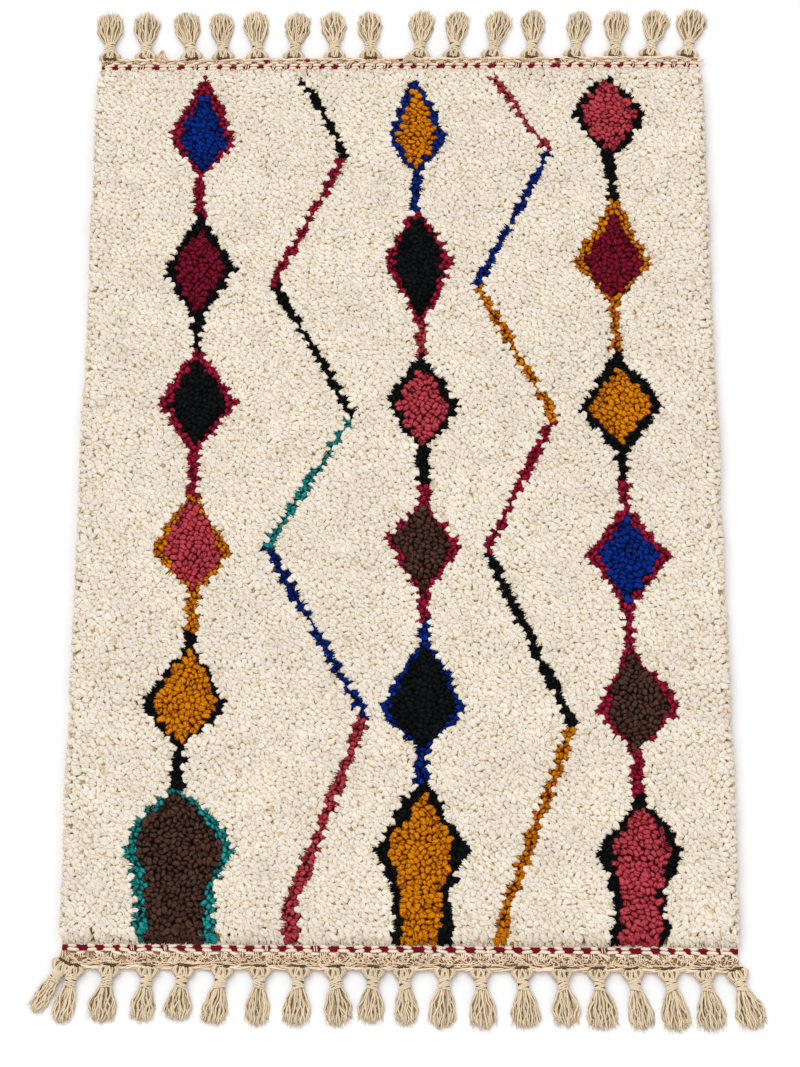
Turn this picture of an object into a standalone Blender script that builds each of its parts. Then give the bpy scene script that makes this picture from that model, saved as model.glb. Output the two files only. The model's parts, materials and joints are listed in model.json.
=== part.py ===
"""A hand-knotted wool rug lying flat: one cloth with a thick pile and flat-woven ends,
a twined edging row at the foot of the pile at each end, and a row of looped, wrapped
tassels along both ends.

Metres, +Z up. The origin is the middle of the rug's footprint on the floor, +Y runs
to the far end and +X to the right of someone standing at the near end.
"""
import math

import bmesh
import bpy

# ---- the whole rug ---------------------------------------------------------
FIELD_WIDTH = 1.000        # pile field, side to side at its foot
FIELD_LENGTH = 1.478       # pile field, end to end at its foot
FIELD_MID_Y = 0.005        # the near woven strip is the wider one, so the field sits off centre
END_FLARE = 0.0045         # the right side is longer than the middle by this share, the left shorter
PILE_HEIGHT = 0.020        # floor to the mean top of the pile
SWELL = {"rise": 0.0009, "across": 0.31, "along": 0.83}   # broad swells of the top
RIPPLE = {"rise": 0.0007, "across": 0.57, "along": 0.23}  # and lower ripples between them
NUB = {"rise": 0.0014, "across": 0.109, "along": 0.113}   # clumps of tufts
SIDE_WAVES = [             # how the long edges wander: how far, and over what length
    {"reach": 0.0020, "length": 0.62, "shift": 0.7},
    {"reach": 0.0012, "length": 0.27, "shift": 0.0},
]
WOVEN_THICKNESS = 0.0040   # flat-woven ground and ends
WOVEN_STRIP = {"near": 0.0425, "far": 0.031}  # flat-woven strip beyond the pile
STRIP_INSET = 0.003        # each end of a strip stops this far inside the pile's side
STRIP_WAVE = 0.0012        # how far the strip's outer edge wanders
STRIP_WAVE_LENGTHS = (0.19, 0.071)
GAP = 0.0003               # between neighbouring pieces

# ---- the pile's rim --------------------------------------------------------
CELLS_ACROSS = 28
CELLS_ALONG = 40
# Rings of the rim, from the edge of the pile's top down to the floor: how far in from
# the foot's outline, and how high.
RIM_RINGS = [
    {"inset": 0.0120, "height": PILE_HEIGHT},
    {"inset": 0.0040, "height": 0.0170},
    {"inset": 0.0000, "height": 0.0115},
    {"inset": 0.0010, "height": WOVEN_THICKNESS},
    {"inset": 0.0025, "height": 0.0},
]
SCALLOP = 0.0015           # the pile's edge bulges by this much at every other point
LOCK_RING = 3              # the locks stand on the wall that ends in this ring
LOCK_REACH = 0.0050        # a rim lock stands out this far
LOCK_DROOP = 0.0015        # and its tip hangs this much lower
LOCK_TAPER = 0.62          # its tip against its root

# ---- the twined rows -------------------------------------------------------
TWIST_PITCH = 0.025        # from one crossing of the two strands to the next
TWINE_OFFSET = {"near": 0.0066, "far": 0.0071}  # from the pile's foot to the row
TWINE_WIDTH = {"crossing": 0.0105, "between": 0.0085}
TWINE_HEIGHT = {"crossing": 0.0055, "between": 0.0042}
TWINE_RIDGE = 0.6          # the ridge's width against the row's foot
TWINE_SWING = 0.0012       # the ridge swings to and fro by this much

# ---- the tassels -----------------------------------------------------------
STRANDS = 6
EAR_LENGTH = 0.0110        # the loop's two legs, from the strip's edge to the wrapping
EAR_WIDTH = 0.0230         # across both legs at the strip's edge
EAR_HEIGHT = 0.0065
NECK_LENGTH = 0.0150       # the wrapped part
NECK_ROUNDING = 0.75       # how far the neck's sides fall away from its crown
# Rings along the neck: share of its length, width across and height.
NECK_RINGS = [
    {"along": 0.00, "width": 0.0160, "height": 0.0085},
    {"along": 0.33, "width": 0.0150, "height": 0.0100},
    {"along": 0.67, "width": 0.0152, "height": 0.0100},
    {"along": 1.00, "width": 0.0175, "height": 0.0080},
]
# Rings along a strand: share of the skirt's length, share of its full fan, share of
# a strand's pitch that the strand fills, and height.
STRAND_RINGS = [
    {"along": 0.32, "fan": 0.56, "fill": 0.86, "height": 0.0070},
    {"along": 0.70, "fan": 0.90, "fill": 0.78, "height": 0.0052},
    {"along": 1.00, "fan": 1.00, "fill": 0.50, "height": 0.0028},
]
STRAND_STAGGER = 0.0035    # the tips end unevenly by this much

# One row for each tassel, left to right: where it leaves the strip's edge, how far it
# leans to the right of straight out, its whole length and the width of its skirt.
NEAR_TASSELS = [
    {"x": -0.502, "lean": -28, "length": 0.0726, "skirt": 0.026, "ears": 0.015},
    {"x": -0.479, "lean": -12, "length": 0.0824, "skirt": 0.033},
    {"x": -0.427, "lean": -8, "length": 0.0794, "skirt": 0.043},
    {"x": -0.370, "lean": -6, "length": 0.0785, "skirt": 0.037},
    {"x": -0.318, "lean": -7, "length": 0.0765, "skirt": 0.042},
    {"x": -0.261, "lean": -9, "length": 0.0824, "skirt": 0.039},
    {"x": -0.205, "lean": -3, "length": 0.0825, "skirt": 0.039},
    {"x": -0.148, "lean": -3, "length": 0.0835, "skirt": 0.042},
    {"x": -0.095, "lean": 4, "length": 0.0825, "skirt": 0.044},
    {"x": -0.039, "lean": -4, "length": 0.0775, "skirt": 0.041},
    {"x": 0.006, "lean": 3, "length": 0.0815, "skirt": 0.036},
    {"x": 0.066, "lean": -4, "length": 0.0845, "skirt": 0.042},
    {"x": 0.118, "lean": 3, "length": 0.0855, "skirt": 0.041},
    {"x": 0.179, "lean": 4, "length": 0.0845, "skirt": 0.045},
    {"x": 0.237, "lean": 5, "length": 0.0815, "skirt": 0.043},
    {"x": 0.291, "lean": 4, "length": 0.0855, "skirt": 0.047},
    {"x": 0.341, "lean": 10, "length": 0.0864, "skirt": 0.039},
    {"x": 0.394, "lean": 8, "length": 0.0874, "skirt": 0.044},
    {"x": 0.447, "lean": 7, "length": 0.0865, "skirt": 0.045},
    {"x": 0.494, "lean": 17, "length": 0.0862, "skirt": 0.046},
]
FAR_TASSELS = [
    {"x": -0.484, "lean": -2, "length": 0.090, "skirt": 0.041},
    {"x": -0.424, "lean": -1, "length": 0.090, "skirt": 0.040},
    {"x": -0.348, "lean": -9, "length": 0.091, "skirt": 0.042},
    {"x": -0.295, "lean": -4, "length": 0.089, "skirt": 0.037},
    {"x": -0.238, "lean": -3, "length": 0.091, "skirt": 0.039},
    {"x": -0.177, "lean": 5, "length": 0.089, "skirt": 0.039},
    {"x": -0.109, "lean": -2, "length": 0.090, "skirt": 0.039},
    {"x": -0.049, "lean": -2, "length": 0.090, "skirt": 0.037},
    {"x": 0.032, "lean": 4, "length": 0.091, "skirt": 0.039},
    {"x": 0.089, "lean": 6, "length": 0.090, "skirt": 0.036},
    {"x": 0.154, "lean": 10, "length": 0.091, "skirt": 0.040},
    {"x": 0.220, "lean": 3, "length": 0.091, "skirt": 0.037},
    {"x": 0.291, "lean": 9, "length": 0.090, "skirt": 0.036},
    {"x": 0.359, "lean": 4, "length": 0.090, "skirt": 0.039},
    {"x": 0.417, "lean": 11, "length": 0.091, "skirt": 0.041},
    {"x": 0.480, "lean": 9, "length": 0.091, "skirt": 0.047},
]

TURN = 2 * math.pi
FACING = 0.7               # a face looks along an axis when its normal has this much of it
OFF_FLOOR = 0.0005         # a point higher than this is on a piece's upper side


# ---- small helpers ---------------------------------------------------------
def clear_scene():
    for old in list(bpy.data.objects):
        bpy.data.objects.remove(old, do_unlink=True)


def yarn(name, colour, roughness):
    """A matt yarn: one Principled finish in the yarn's own colour."""
    finish = bpy.data.materials.new(name)
    finish.use_nodes = True
    shader = finish.node_tree.nodes["Principled BSDF"]
    shader.inputs["Base Color"].default_value = (*colour, 1.0)
    shader.inputs["Roughness"].default_value = roughness
    shader.inputs["Metallic"].default_value = 0.0
    return finish


def add_piece(name, bm, finish, collection, location=(0.0, 0.0, 0.0), turn=0.0):
    """Finish a bmesh as one object of the rug."""
    bmesh.ops.recalc_face_normals(bm, faces=bm.faces[:])
    mesh = bpy.data.meshes.new(name)
    bm.to_mesh(mesh)
    bm.free()
    mesh.materials.append(finish)
    piece = bpy.data.objects.new(name, mesh)
    piece.location = location
    piece.rotation_euler = (0.0, 0.0, turn)
    collection.objects.link(piece)
    return piece


def edges_along(bm, axis):
    """The edges of a box that run along one axis."""
    found = []
    for edge in bm.edges:
        run = edge.verts[1].co - edge.verts[0].co
        if abs(run[axis]) > 0.9 * run.length:
            found.append(edge)
    return found


def divided_box(across, along):
    """A unit box cut into cells across (X) and along (Y)."""
    bm = bmesh.new()
    bmesh.ops.create_cube(bm, size=1.0)
    if across > 1:
        bmesh.ops.subdivide_edges(bm, edges=edges_along(bm, 0), cuts=across - 1, use_grid_fill=True)
    if along > 1:
        bmesh.ops.subdivide_edges(bm, edges=edges_along(bm, 1), cuts=along - 1, use_grid_fill=True)
    return bm


# ---- the cloth -------------------------------------------------------------
def pile_top(x, y):
    """Height of the pile's soft, uneven top."""
    bend = 0.35 * math.sin(TURN * y / SWELL["along"])
    swell = math.sin(TURN * (x / SWELL["across"] + bend))
    bend = 0.40 * math.sin(TURN * x / RIPPLE["across"])
    ripple = math.sin(TURN * (y / RIPPLE["along"] + bend) + 1.1)
    u = TURN * x / NUB["across"]
    v = TURN * y / NUB["along"]
    nub = math.sin(u + 0.8 * v) * math.sin(0.9 * u - v)
    return PILE_HEIGHT + SWELL["rise"] * swell + RIPPLE["rise"] * ripple + NUB["rise"] * nub


def side_wander(y):
    """How far the long edges stray outwards at this place along the rug."""
    return sum(w["reach"] * math.sin(TURN * y / w["length"] + w["shift"]) for w in SIDE_WAVES)


def flared(x, y):
    """The rug's ends aren't quite square: y moves outwards on the right, inwards on the left."""
    return FIELD_MID_Y + (y - FIELD_MID_Y) * (1 + END_FLARE * 2 * x / FIELD_WIDTH)


def end_edge(end, side, x):
    """Where the outer edge of a woven strip lies at this place across the rug."""
    return flared(x, FIELD_MID_Y + side * (FIELD_LENGTH / 2 + WOVEN_STRIP[end]))


def rim_place(point, inset, height):
    """Send a point of the unit square's outline to one ring of the rim."""
    half_width = FIELD_WIDTH / 2 - inset
    half_length = FIELD_LENGTH / 2 - inset
    y = FIELD_MID_Y + 2 * point.y * half_length
    x = 2 * point.x * half_width
    x += math.copysign(side_wander(y), x) * (2 * abs(point.x)) ** 8
    bulges = round((point.x + 0.5) * 2 * CELLS_ACROSS) % 2 and height > WOVEN_THICKNESS
    if bulges and abs(point.y) > 0.499:
        y += math.copysign(SCALLOP, point.y)
    return (x, flared(x, y), height)


def outline_edges(bm):
    return [edge for edge in bm.edges if edge.is_boundary]


def rug_cloth(collection, finish):
    """Pile field with its rim, its locks and the flat-woven strips: one closed solid."""
    bm = bmesh.new()
    bmesh.ops.create_grid(bm, x_segments=CELLS_ACROSS, y_segments=CELLS_ALONG, size=0.5)
    # Twice as many points round the rim as inside, so that a lock is half a cell wide.
    bmesh.ops.subdivide_edges(bm, edges=outline_edges(bm), cuts=1)
    unit = {vert: vert.co.copy() for vert in bm.verts}
    first = RIM_RINGS[0]
    for vert, place in unit.items():
        x, y, _ = rim_place(place, first["inset"], 0.0)
        vert.co = (x, y, pile_top(x, y))

    # Rim: each ring is drawn out of the last and laid on its own outline.
    walls = []
    for ring in RIM_RINGS[1:]:
        drawn = bmesh.ops.extrude_edge_only(bm, edges=outline_edges(bm))["geom"]
        new_verts = [item for item in drawn if isinstance(item, bmesh.types.BMVert)]
        walls.append([item for item in drawn if isinstance(item, bmesh.types.BMFace)])
        drawn_unit = {}
        for vert in new_verts:
            linked = [edge.other_vert(vert) for edge in vert.link_edges]
            drawn_unit[vert] = next(unit[old] for old in linked if old in unit)
            vert.co = rim_place(drawn_unit[vert], ring["inset"], ring["height"])
        unit = drawn_unit
    bmesh.ops.holes_fill(bm, edges=outline_edges(bm), sides=0)
    bm.normal_update()

    draw_strips(bm, walls[-1])
    draw_locks(bm, walls[LOCK_RING - 1])
    return add_piece("rug_cloth", bm, finish, collection)


def draw_out(bm, faces):
    """Extrude faces that lie together, and give the moving end's vertices."""
    drawn = bmesh.ops.extrude_face_region(bm, geom=faces)["geom"]
    # The faces at the root would now lie inside the body.
    bmesh.ops.delete(bm, geom=faces, context="FACES")
    return [item for item in drawn if isinstance(item, bmesh.types.BMVert)]


def draw_strips(bm, lowest_wall):
    """Pull the lowest wall of both ends out into the flat-woven strips."""
    for end, side in (("near", -1), ("far", 1)):
        wall = [f for f in lowest_wall if f.is_valid and f.normal.y * side > FACING]
        for vert in draw_out(bm, wall):
            x = vert.co.x * (FIELD_WIDTH / 2 - STRIP_INSET) / (FIELD_WIDTH / 2)
            long_wave, short_wave = (TURN * x / length for length in STRIP_WAVE_LENGTHS)
            wave = STRIP_WAVE * math.sin(long_wave + side) * math.cos(short_wave)
            vert.co = (x, end_edge(end, side, x) + side * wave, vert.co.z)


def draw_locks(bm, side_wall):
    """Every other face of the long sides stands out as a lock of pile."""
    for side in (-1, 1):
        wall = [f for f in side_wall if f.is_valid and f.normal.x * side > FACING]
        wall.sort(key=lambda face: face.calc_center_median().y)
        drawn = bmesh.ops.extrude_discrete_faces(bm, faces=wall[::2])["faces"]
        for face in drawn:
            middle = face.calc_center_median()
            for vert in face.verts:
                vert.co = middle + (vert.co - middle) * LOCK_TAPER
                vert.co.x += side * LOCK_REACH
                vert.co.z -= LOCK_DROOP


# ---- the twined rows -------------------------------------------------------
def twined_edge(end, side, collection, finish):
    """Two yarns twisted together, lying on the strip along the foot of the pile."""
    length = FIELD_WIDTH - 2 * STRIP_INSET - 2 * GAP
    crossings = round(length / TWIST_PITCH)
    steps = 2 * crossings
    bm = divided_box(steps, 1)
    near_pile = FIELD_LENGTH / 2 + TWINE_OFFSET[end]
    for vert in bm.verts:
        step = round((vert.co.x + 0.5) * steps)
        kind = "crossing" if step % 2 else "between"
        width = TWINE_WIDTH[kind]
        is_top = vert.co.z > 0
        swing = TWINE_SWING * math.sin(math.pi * step / 2 + math.pi / 4) if is_top else 0.0
        ridge = TWINE_RIDGE if is_top else 1.0
        out = near_pile + TWINE_WIDTH["crossing"] / 2 + width * vert.co.y * ridge
        height = WOVEN_THICKNESS + GAP + (TWINE_HEIGHT[kind] if is_top else 0.0)
        x = length * vert.co.x
        vert.co = (x, flared(x, FIELD_MID_Y + side * (out + swing)), height)
    return add_piece("twined_edge_" + end, bm, finish, collection)


# ---- the tassels -----------------------------------------------------------
def draw_ears(bm, ear_width, slope):
    """Two legs of the loop, from the neck back to the strip, with a hole between.

    Both legs end on the strip's edge, which slopes against a leaning tassel's own axis.
    """
    half_neck = NECK_RINGS[0]["width"] / 2
    for side in (-1, 1):
        root_faces = [f for f in bm.faces if f.normal.y < -FACING]
        leg = [f for f in root_faces if f.calc_center_median().x * side > half_neck / 3]
        for vert in draw_out(bm, leg):
            share = vert.co.x / half_neck
            height = EAR_HEIGHT if vert.co.z > OFF_FLOOR else 0.0
            x = share * ear_width / 2
            vert.co = (x, slope * x, height)
        bm.normal_update()


def draw_strands(bm, skirt_length, skirt_width):
    """The end of the neck is cut into strands, which fan out and lie on the floor."""
    skirt_start = EAR_LENGTH + NECK_LENGTH
    neck_end = NECK_RINGS[-1]["width"]
    fronts = [f for f in bm.faces if f.normal.y > FACING]
    fronts.sort(key=lambda face: face.calc_center_median().x)
    for ring in STRAND_RINGS:
        fronts = bmesh.ops.extrude_discrete_faces(bm, faces=fronts)["faces"]
        fronts.sort(key=lambda face: face.calc_center_median().x)
        reach = neck_end + (skirt_width - neck_end) * ring["fan"]
        pitch = reach / STRANDS
        for index, face in enumerate(fronts):
            centre_x = pitch * (index - (STRANDS - 1) / 2)
            # The outer strands run slantwise, so their tips end a little sooner.
            slant = abs(2 * centre_x / reach)
            stagger = STRAND_STAGGER * (0.5 * math.sin(2.4 * index + 60 * skirt_width) - slant)
            y = skirt_start + skirt_length * ring["along"] + stagger * ring["along"]
            middle_x = face.calc_center_median().x
            for vert in face.verts:
                sideways = math.copysign(pitch * ring["fill"] / 2, vert.co.x - middle_x)
                height = ring["height"] if vert.co.z > OFF_FLOOR else 0.0
                vert.co = (centre_x + sideways, y, height)


def tassel(name, row, end, side, collection, finish):
    """A looped, wrapped and cut tassel lying on the floor, pointing away from the rug."""
    bm = divided_box(STRANDS, len(NECK_RINGS) - 1)
    for vert in bm.verts:
        ring = NECK_RINGS[round((vert.co.y + 0.5) * (len(NECK_RINGS) - 1))]
        share = 2 * vert.co.x
        crown = math.sqrt(1 - NECK_ROUNDING * share ** 2)
        height = ring["height"] * crown if vert.co.z > 0 else 0.0
        y = EAR_LENGTH + NECK_LENGTH * ring["along"]
        vert.co = (share * ring["width"] / 2, y, height)
    bm.normal_update()
    lean = math.radians(row["lean"])
    draw_ears(bm, row.get("ears", EAR_WIDTH), side * math.tan(lean))
    draw_strands(bm, row["length"] - EAR_LENGTH - NECK_LENGTH, row["skirt"])
    edge_y = end_edge(end, side, row["x"])
    location = (row["x"], edge_y + side * (GAP + STRIP_WAVE), 0.0)
    turn = math.pi + lean if side < 0 else -lean
    return add_piece(name, bm, finish, collection, location, turn)


# ---- the rug ---------------------------------------------------------------
def build():
    clear_scene()
    rug = bpy.data.collections.new("wool_rug")
    bpy.context.scene.collection.children.link(rug)
    cream_wool = yarn("cream_pile_wool", (0.79, 0.71, 0.58), 0.95)
    red_wool = yarn("red_twined_wool", (0.27, 0.02, 0.05), 0.9)
    tan_wool = yarn("tan_tassel_wool", (0.60, 0.46, 0.30), 0.9)

    rug_cloth(rug, cream_wool)
    ends = (("near", -1, NEAR_TASSELS), ("far", 1, FAR_TASSELS))
    for end, side, rows in ends:
        twined_edge(end, side, rug, red_wool)
        for number, row in enumerate(rows, start=1):
            tassel(f"tassel_{end}_{number:02d}", row, end, side, rug, tan_wool)


build()
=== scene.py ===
"""Looks of a hand-knotted wool rug: knotted pile with lozenges, zigzags and stems, twined
and stitched ends, and wrapped tassels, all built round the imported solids.

Metres, in the solids' own frame: the origin is the middle of the rug's footprint on the
floor, +Y runs to the far end, +X to the right of someone at the near end and +Z up.
"""
import json
import math
from collections import namedtuple
from types import SimpleNamespace

import bmesh
import bpy
import numpy as np
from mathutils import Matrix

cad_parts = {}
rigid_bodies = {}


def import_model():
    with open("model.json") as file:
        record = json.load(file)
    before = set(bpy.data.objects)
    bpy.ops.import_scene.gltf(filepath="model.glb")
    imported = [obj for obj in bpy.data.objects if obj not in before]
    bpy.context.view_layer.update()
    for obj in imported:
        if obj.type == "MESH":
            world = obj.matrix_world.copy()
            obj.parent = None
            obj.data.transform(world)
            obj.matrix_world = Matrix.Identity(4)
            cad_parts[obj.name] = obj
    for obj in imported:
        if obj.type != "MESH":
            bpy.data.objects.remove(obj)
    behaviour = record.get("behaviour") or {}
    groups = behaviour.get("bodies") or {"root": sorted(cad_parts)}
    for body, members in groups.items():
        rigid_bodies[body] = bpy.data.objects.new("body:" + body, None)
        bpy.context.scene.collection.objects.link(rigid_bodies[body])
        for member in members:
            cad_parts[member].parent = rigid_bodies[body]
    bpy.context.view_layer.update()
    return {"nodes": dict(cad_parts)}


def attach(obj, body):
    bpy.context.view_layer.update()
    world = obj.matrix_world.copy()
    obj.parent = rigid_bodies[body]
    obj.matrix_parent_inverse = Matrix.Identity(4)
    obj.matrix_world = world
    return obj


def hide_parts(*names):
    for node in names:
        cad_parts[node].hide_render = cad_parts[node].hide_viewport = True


MM = 0.001
TURN = 2 * math.pi
SEED = 20

# ---- the cloth, as its solid has it ----------------------------------------
FIELD_WIDTH = 1.000        # pile field, side to side at its foot
FIELD_LENGTH = 1.478       # pile field, end to end at its foot
FIELD_MID_Y = 0.005        # the near woven strip is the wider one, so the field sits off centre
END_FLARE = 0.0045         # the right side is longer than the middle by this share
SIDE_WAVES = [             # how the long edges wander: how far, and over what length
    {"reach": 0.0020, "length": 0.62, "shift": 0.7},
    {"reach": 0.0012, "length": 0.27, "shift": 0.0},
]
PILE_HEIGHT = 0.020        # floor to the mean top of the pile
SWELL = {"rise": 0.0009, "across": 0.31, "along": 0.83}
RIPPLE = {"rise": 0.0007, "across": 0.57, "along": 0.23}
NUB = {"rise": 0.0014, "across": 0.109, "along": 0.113}
# How the pile rounds over at its rim: distance in from its foot, and height.
RIM_INSETS = (-0.002, 0.0, 0.004, 0.012)
RIM_HEIGHTS = (0.006, 0.0115, 0.0170, 0.0200)
STRIP_TOP = 0.0038         # top of the woven ground in the strips
STRIP_WIDTH = {"near": 0.0425, "far": 0.031}
STRIP_INSET = 0.003

# ---- the knots -------------------------------------------------------------
ENDS_ACROSS = 100          # 9.9 mm apart
END_ROWS = 180             # 8.1 mm apart: two ends a knot, less those that others hide
ROW_SHIFT = 0.24           # rows stand this share of a pitch to the left and right by turns
ROW_STRAY = 0.12           # give or take this much
END_LENGTH = 0.0278        # a yarn end as it would lie if nothing pressed on it
END_WIDTH = 0.0148
END_HEIGHT = 0.0036
END_SIZES = (0.85, 1.15)   # the smallest and largest ends, as shares of that size
RIM_END_WIDTH = 0.9        # ends at the rim are this share as wide
SWIRLS = {"count": 6, "lengths": (0.10, 0.22), "swing": 0.7}   # how the ends' way wanders
SCATTER = 0.0026           # the ends stray this far from their knots
SINK = 0.00050             # and lie this much higher or lower
BORDER_SINK = 0.0006       # those of borders and lines lie lower still
# How far chance turns an end, in radians: in the field, by a figure's edge, at the rim, and
# out of level.
STRAY = {"field": 0.4, "edge": 0.6, "rim": 0.3, "level": 0.08}
BY_EDGE = 7.0              # millimetres: ends this close to a figure's edge lie by it
AT_RIM = 0.010             # ends this close to the pile's foot point outwards
# How the ends push one another apart: how many times, how far they give way each time, at
# what share of their two reaches they touch, and how far in from the pile's foot they stay.
SETTLING = {"rounds": 12, "give": 0.16, "touch": 0.58, "inset": 0.0035}
LAP = 0.0024               # an end's foot passes under its neighbour by this much
CREASE = -0.0008           # and its shoulder stops this far short of it, or laps over
SHOULDER = 0.0007          # the flat top begins this far in from the shoulder
DYED_LAP = 0.0012          # the feet of dyed ends reach this much further
DYED_CREASE = 0.0011       # and their tops stand this much further apart
CROWD = 0.0014             # cream and filling yarns crowd this far over a darker border
LEAST_ROOM = 0.0008        # no end is pressed narrower than this from its middle
CREAM_BANDS = 5            # the cream pile is made in this many pieces, from end to end
# How far the rim's own ends reach past its foot, and how far they turn down.
RIM_OVERHANG = {"sides": 0.0016, "ends": 0.0052}
RIM_DROOP = {"sides": 0.5, "ends": 0.9}

# ---- the tufts at the figures' edges and round the rim ----------------------
EDGE_TUFT = {"width": 0.0034, "height": 0.0032}
# Tufts over a border and tufts of the border itself: how far beside its knot each starts,
# how many millimetres from the edge the knots are, and how far past the edge the tufts reach.
JUTTING = {"slides": (-0.0026, 0.0, 0.0026), "within": 7.5, "past": (0.0006, 0.0042)}
STRAYING = {"slides": (-0.0024, 0.0020), "within": 7.0, "past": (0.0002, 0.0028)}
TEAL_STRAY = 2.2           # the teal border strays this many times as far
TUFT_ROOT = 0.001          # how much of a tuft is hidden behind its start
RIM_TUFT_HEIGHT = 0.0052
# Tufts of one knot at the rim: how far beside it each starts, and how much lower.
RIM_TUFTS = ((-0.0044, 0.0), (-0.0015, 0.0022), (0.0015, -0.0006), (0.0044, 0.0014))
# How wide they are, how far past the pile's foot they reach, and how high their tips hang.
SIDE_TUFT = {"width": 0.0062, "past": (-0.0010, 0.0022), "tip": (0.0022, 0.0085)}
END_TUFT = {"width": 0.0088, "past": (0.0042, 0.0076), "tip": STRIP_TOP + 0.0042}
END_TUFT_ROOM = 0.0055     # where no knot at the rim is this close, one from further in serves
FURTHER_IN = 0.019         # from as far in as this


# ---- small helpers ---------------------------------------------------------
def linear(code):
    """An sRGB hex colour as the linear values that Blender's sockets take."""
    parts = [int(code[i:i + 2], 16) / 255 for i in (1, 3, 5)]
    return tuple(p / 12.92 if p <= 0.04045 else ((p + 0.055) / 1.055) ** 2.4 for p in parts)


def add_node(tree, kind, settings=(), links=()):
    """One node, with its own settings, its unlinked sockets and what feeds it."""
    node = tree.nodes.new(kind)
    for name, value in dict(settings).items():
        if isinstance(name, str) and hasattr(node, name):
            setattr(node, name, value)
        else:
            node.inputs[name].default_value = value
    for name, source in dict(links).items():
        tree.links.new(source, node.inputs[name])
    return node


def deselect_all():
    for other in bpy.context.scene.objects:
        other.select_set(False)


def pick(piece, wanted):
    """In edit mode, select the points whose place passes a test."""
    work = bmesh.from_edit_mesh(piece.data)
    for vert in work.verts:
        vert.select_set(bool(wanted(vert.co)))
    work.select_flush_mode()
    bmesh.update_edit_mesh(piece.data)


def mesh_points(mesh):
    points = np.empty(3 * len(mesh.vertices))
    mesh.vertices.foreach_get("co", points)
    return points.reshape(-1, 3)


Shape = namedtuple("Shape", "points corners totals")


def take_shape(piece):
    """The points and faces of a modelled yarn, which is then cleared away."""
    mesh = piece.data
    points = mesh_points(mesh)
    corners = np.empty(len(mesh.loops), np.int32)
    mesh.loops.foreach_get("vertex_index", corners)
    totals = np.empty(len(mesh.polygons), np.int32)
    mesh.polygons.foreach_get("loop_total", totals)
    bpy.data.objects.remove(piece)
    return Shape(points, corners, totals)


class Heap:
    """Copies of modelled yarns, gathered into one mesh with what its finish reads."""

    def __init__(self):
        self.points, self.corners, self.totals = [], [], []
        self.depth, self.tone = [], []
        self.count = 0

    def add(self, shape, places, depth, tone):
        """Places are copies by points by 3, depth is copies by points and sets how deep in painted
        shade each point is coloured, and there is one tone for each copy or each point."""
        copies, size = places.shape[:2]
        firsts = self.count + size * np.arange(copies)
        self.points.append(places.reshape(-1, 3))
        self.corners.append((shape.corners[None, :] + firsts[:, None]).ravel())
        self.totals.append(np.tile(shape.totals, copies))
        self.depth.append(np.broadcast_to(depth, (copies, size)).ravel())
        self.tone.append(np.broadcast_to(np.reshape(tone, (copies, -1)), (copies, size)).ravel())
        self.count += copies * size

    def add_runs(self, run, path, thick, tone, flat=1.0, shade=1.0, below=0.0):
        """Copies of a run of yarn laid along paths. Shade is how much of its own depth counts towards the
        painted shade, and below adds painted shade of its own.
        """
        places, depth = lay(run, path, thick, flat)
        self.add(run, places, shade * depth + below, tone)

    def finish(self, name, finish, slot, nodes):
        """Make the mesh, give it its finish and set it in the frame."""
        points = np.concatenate(self.points)
        corners = np.concatenate(self.corners)
        totals = np.concatenate(self.totals)
        mesh = bpy.data.meshes.new(name)
        mesh.vertices.add(len(points))
        mesh.vertices.foreach_set("co", points.astype(np.float32).ravel())
        mesh.loops.add(len(corners))
        mesh.loops.foreach_set("vertex_index", corners.astype(np.int32))
        mesh.polygons.add(len(totals))
        starts = np.concatenate([[0], np.cumsum(totals)[:-1]])
        mesh.polygons.foreach_set("loop_start", starts.astype(np.int32))
        mesh.update(calc_edges=True)
        # The depth drives each finish's painted highlight and painted shade; the tone is each yarn's own
        # random difference.
        for label, values in (("depth", self.depth), ("tone", self.tone)):
            layer = mesh.attributes.new(label, "FLOAT", "POINT")
            layer.data.foreach_set("value", np.concatenate(values).astype(np.float32))
        mesh.shade_smooth()
        mesh.materials.append(finish)
        piece = bpy.data.objects.new(name, mesh)
        bpy.context.scene.collection.objects.link(piece)
        place_piece(piece, nodes)


def place_piece(piece, nodes):
    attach(piece, "root")
    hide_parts(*nodes)


# ---- where the cloth lies --------------------------------------------------
def side_wander(y):
    return sum(w["reach"] * np.sin(TURN * y / w["length"] + w["shift"]) for w in SIDE_WAVES)


def flared(x, y):
    """The rug's ends aren't quite square: y moves outwards on the right, inwards on the left."""
    return FIELD_MID_Y + (y - FIELD_MID_Y) * (1 + END_FLARE * 2 * x / FIELD_WIDTH)


def on_cloth(x, y):
    """From a square field to the real one, with its wandering sides and flared ends."""
    wander = np.copysign(side_wander(y), x) * np.abs(2 * x / FIELD_WIDTH) ** 8
    return x + wander, flared(x, y)


def nap_height(x, y):
    """Height of the pile's soft, uneven top away from its rim."""
    bend = 0.35 * np.sin(TURN * y / SWELL["along"])
    swell = np.sin(TURN * (x / SWELL["across"] + bend))
    bend = 0.40 * np.sin(TURN * x / RIPPLE["across"])
    ripple = np.sin(TURN * (y / RIPPLE["along"] + bend) + 1.1)
    u = TURN * x / NUB["across"]
    v = TURN * y / NUB["along"]
    nub = np.sin(u + 0.8 * v) * np.sin(0.9 * u - v)
    return PILE_HEIGHT + SWELL["rise"] * swell + RIPPLE["rise"] * ripple + NUB["rise"] * nub


def rim_inset(x, y):
    """How far in from the pile's foot a place of the square field lies."""
    side = FIELD_WIDTH / 2 - np.abs(x)
    end = FIELD_LENGTH / 2 - np.abs(y - FIELD_MID_Y)
    return np.minimum(side, end)


def pile_top(x, y):
    return nap_height(x, y) - PILE_HEIGHT + np.interp(rim_inset(x, y), RIM_INSETS, RIM_HEIGHTS)


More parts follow.
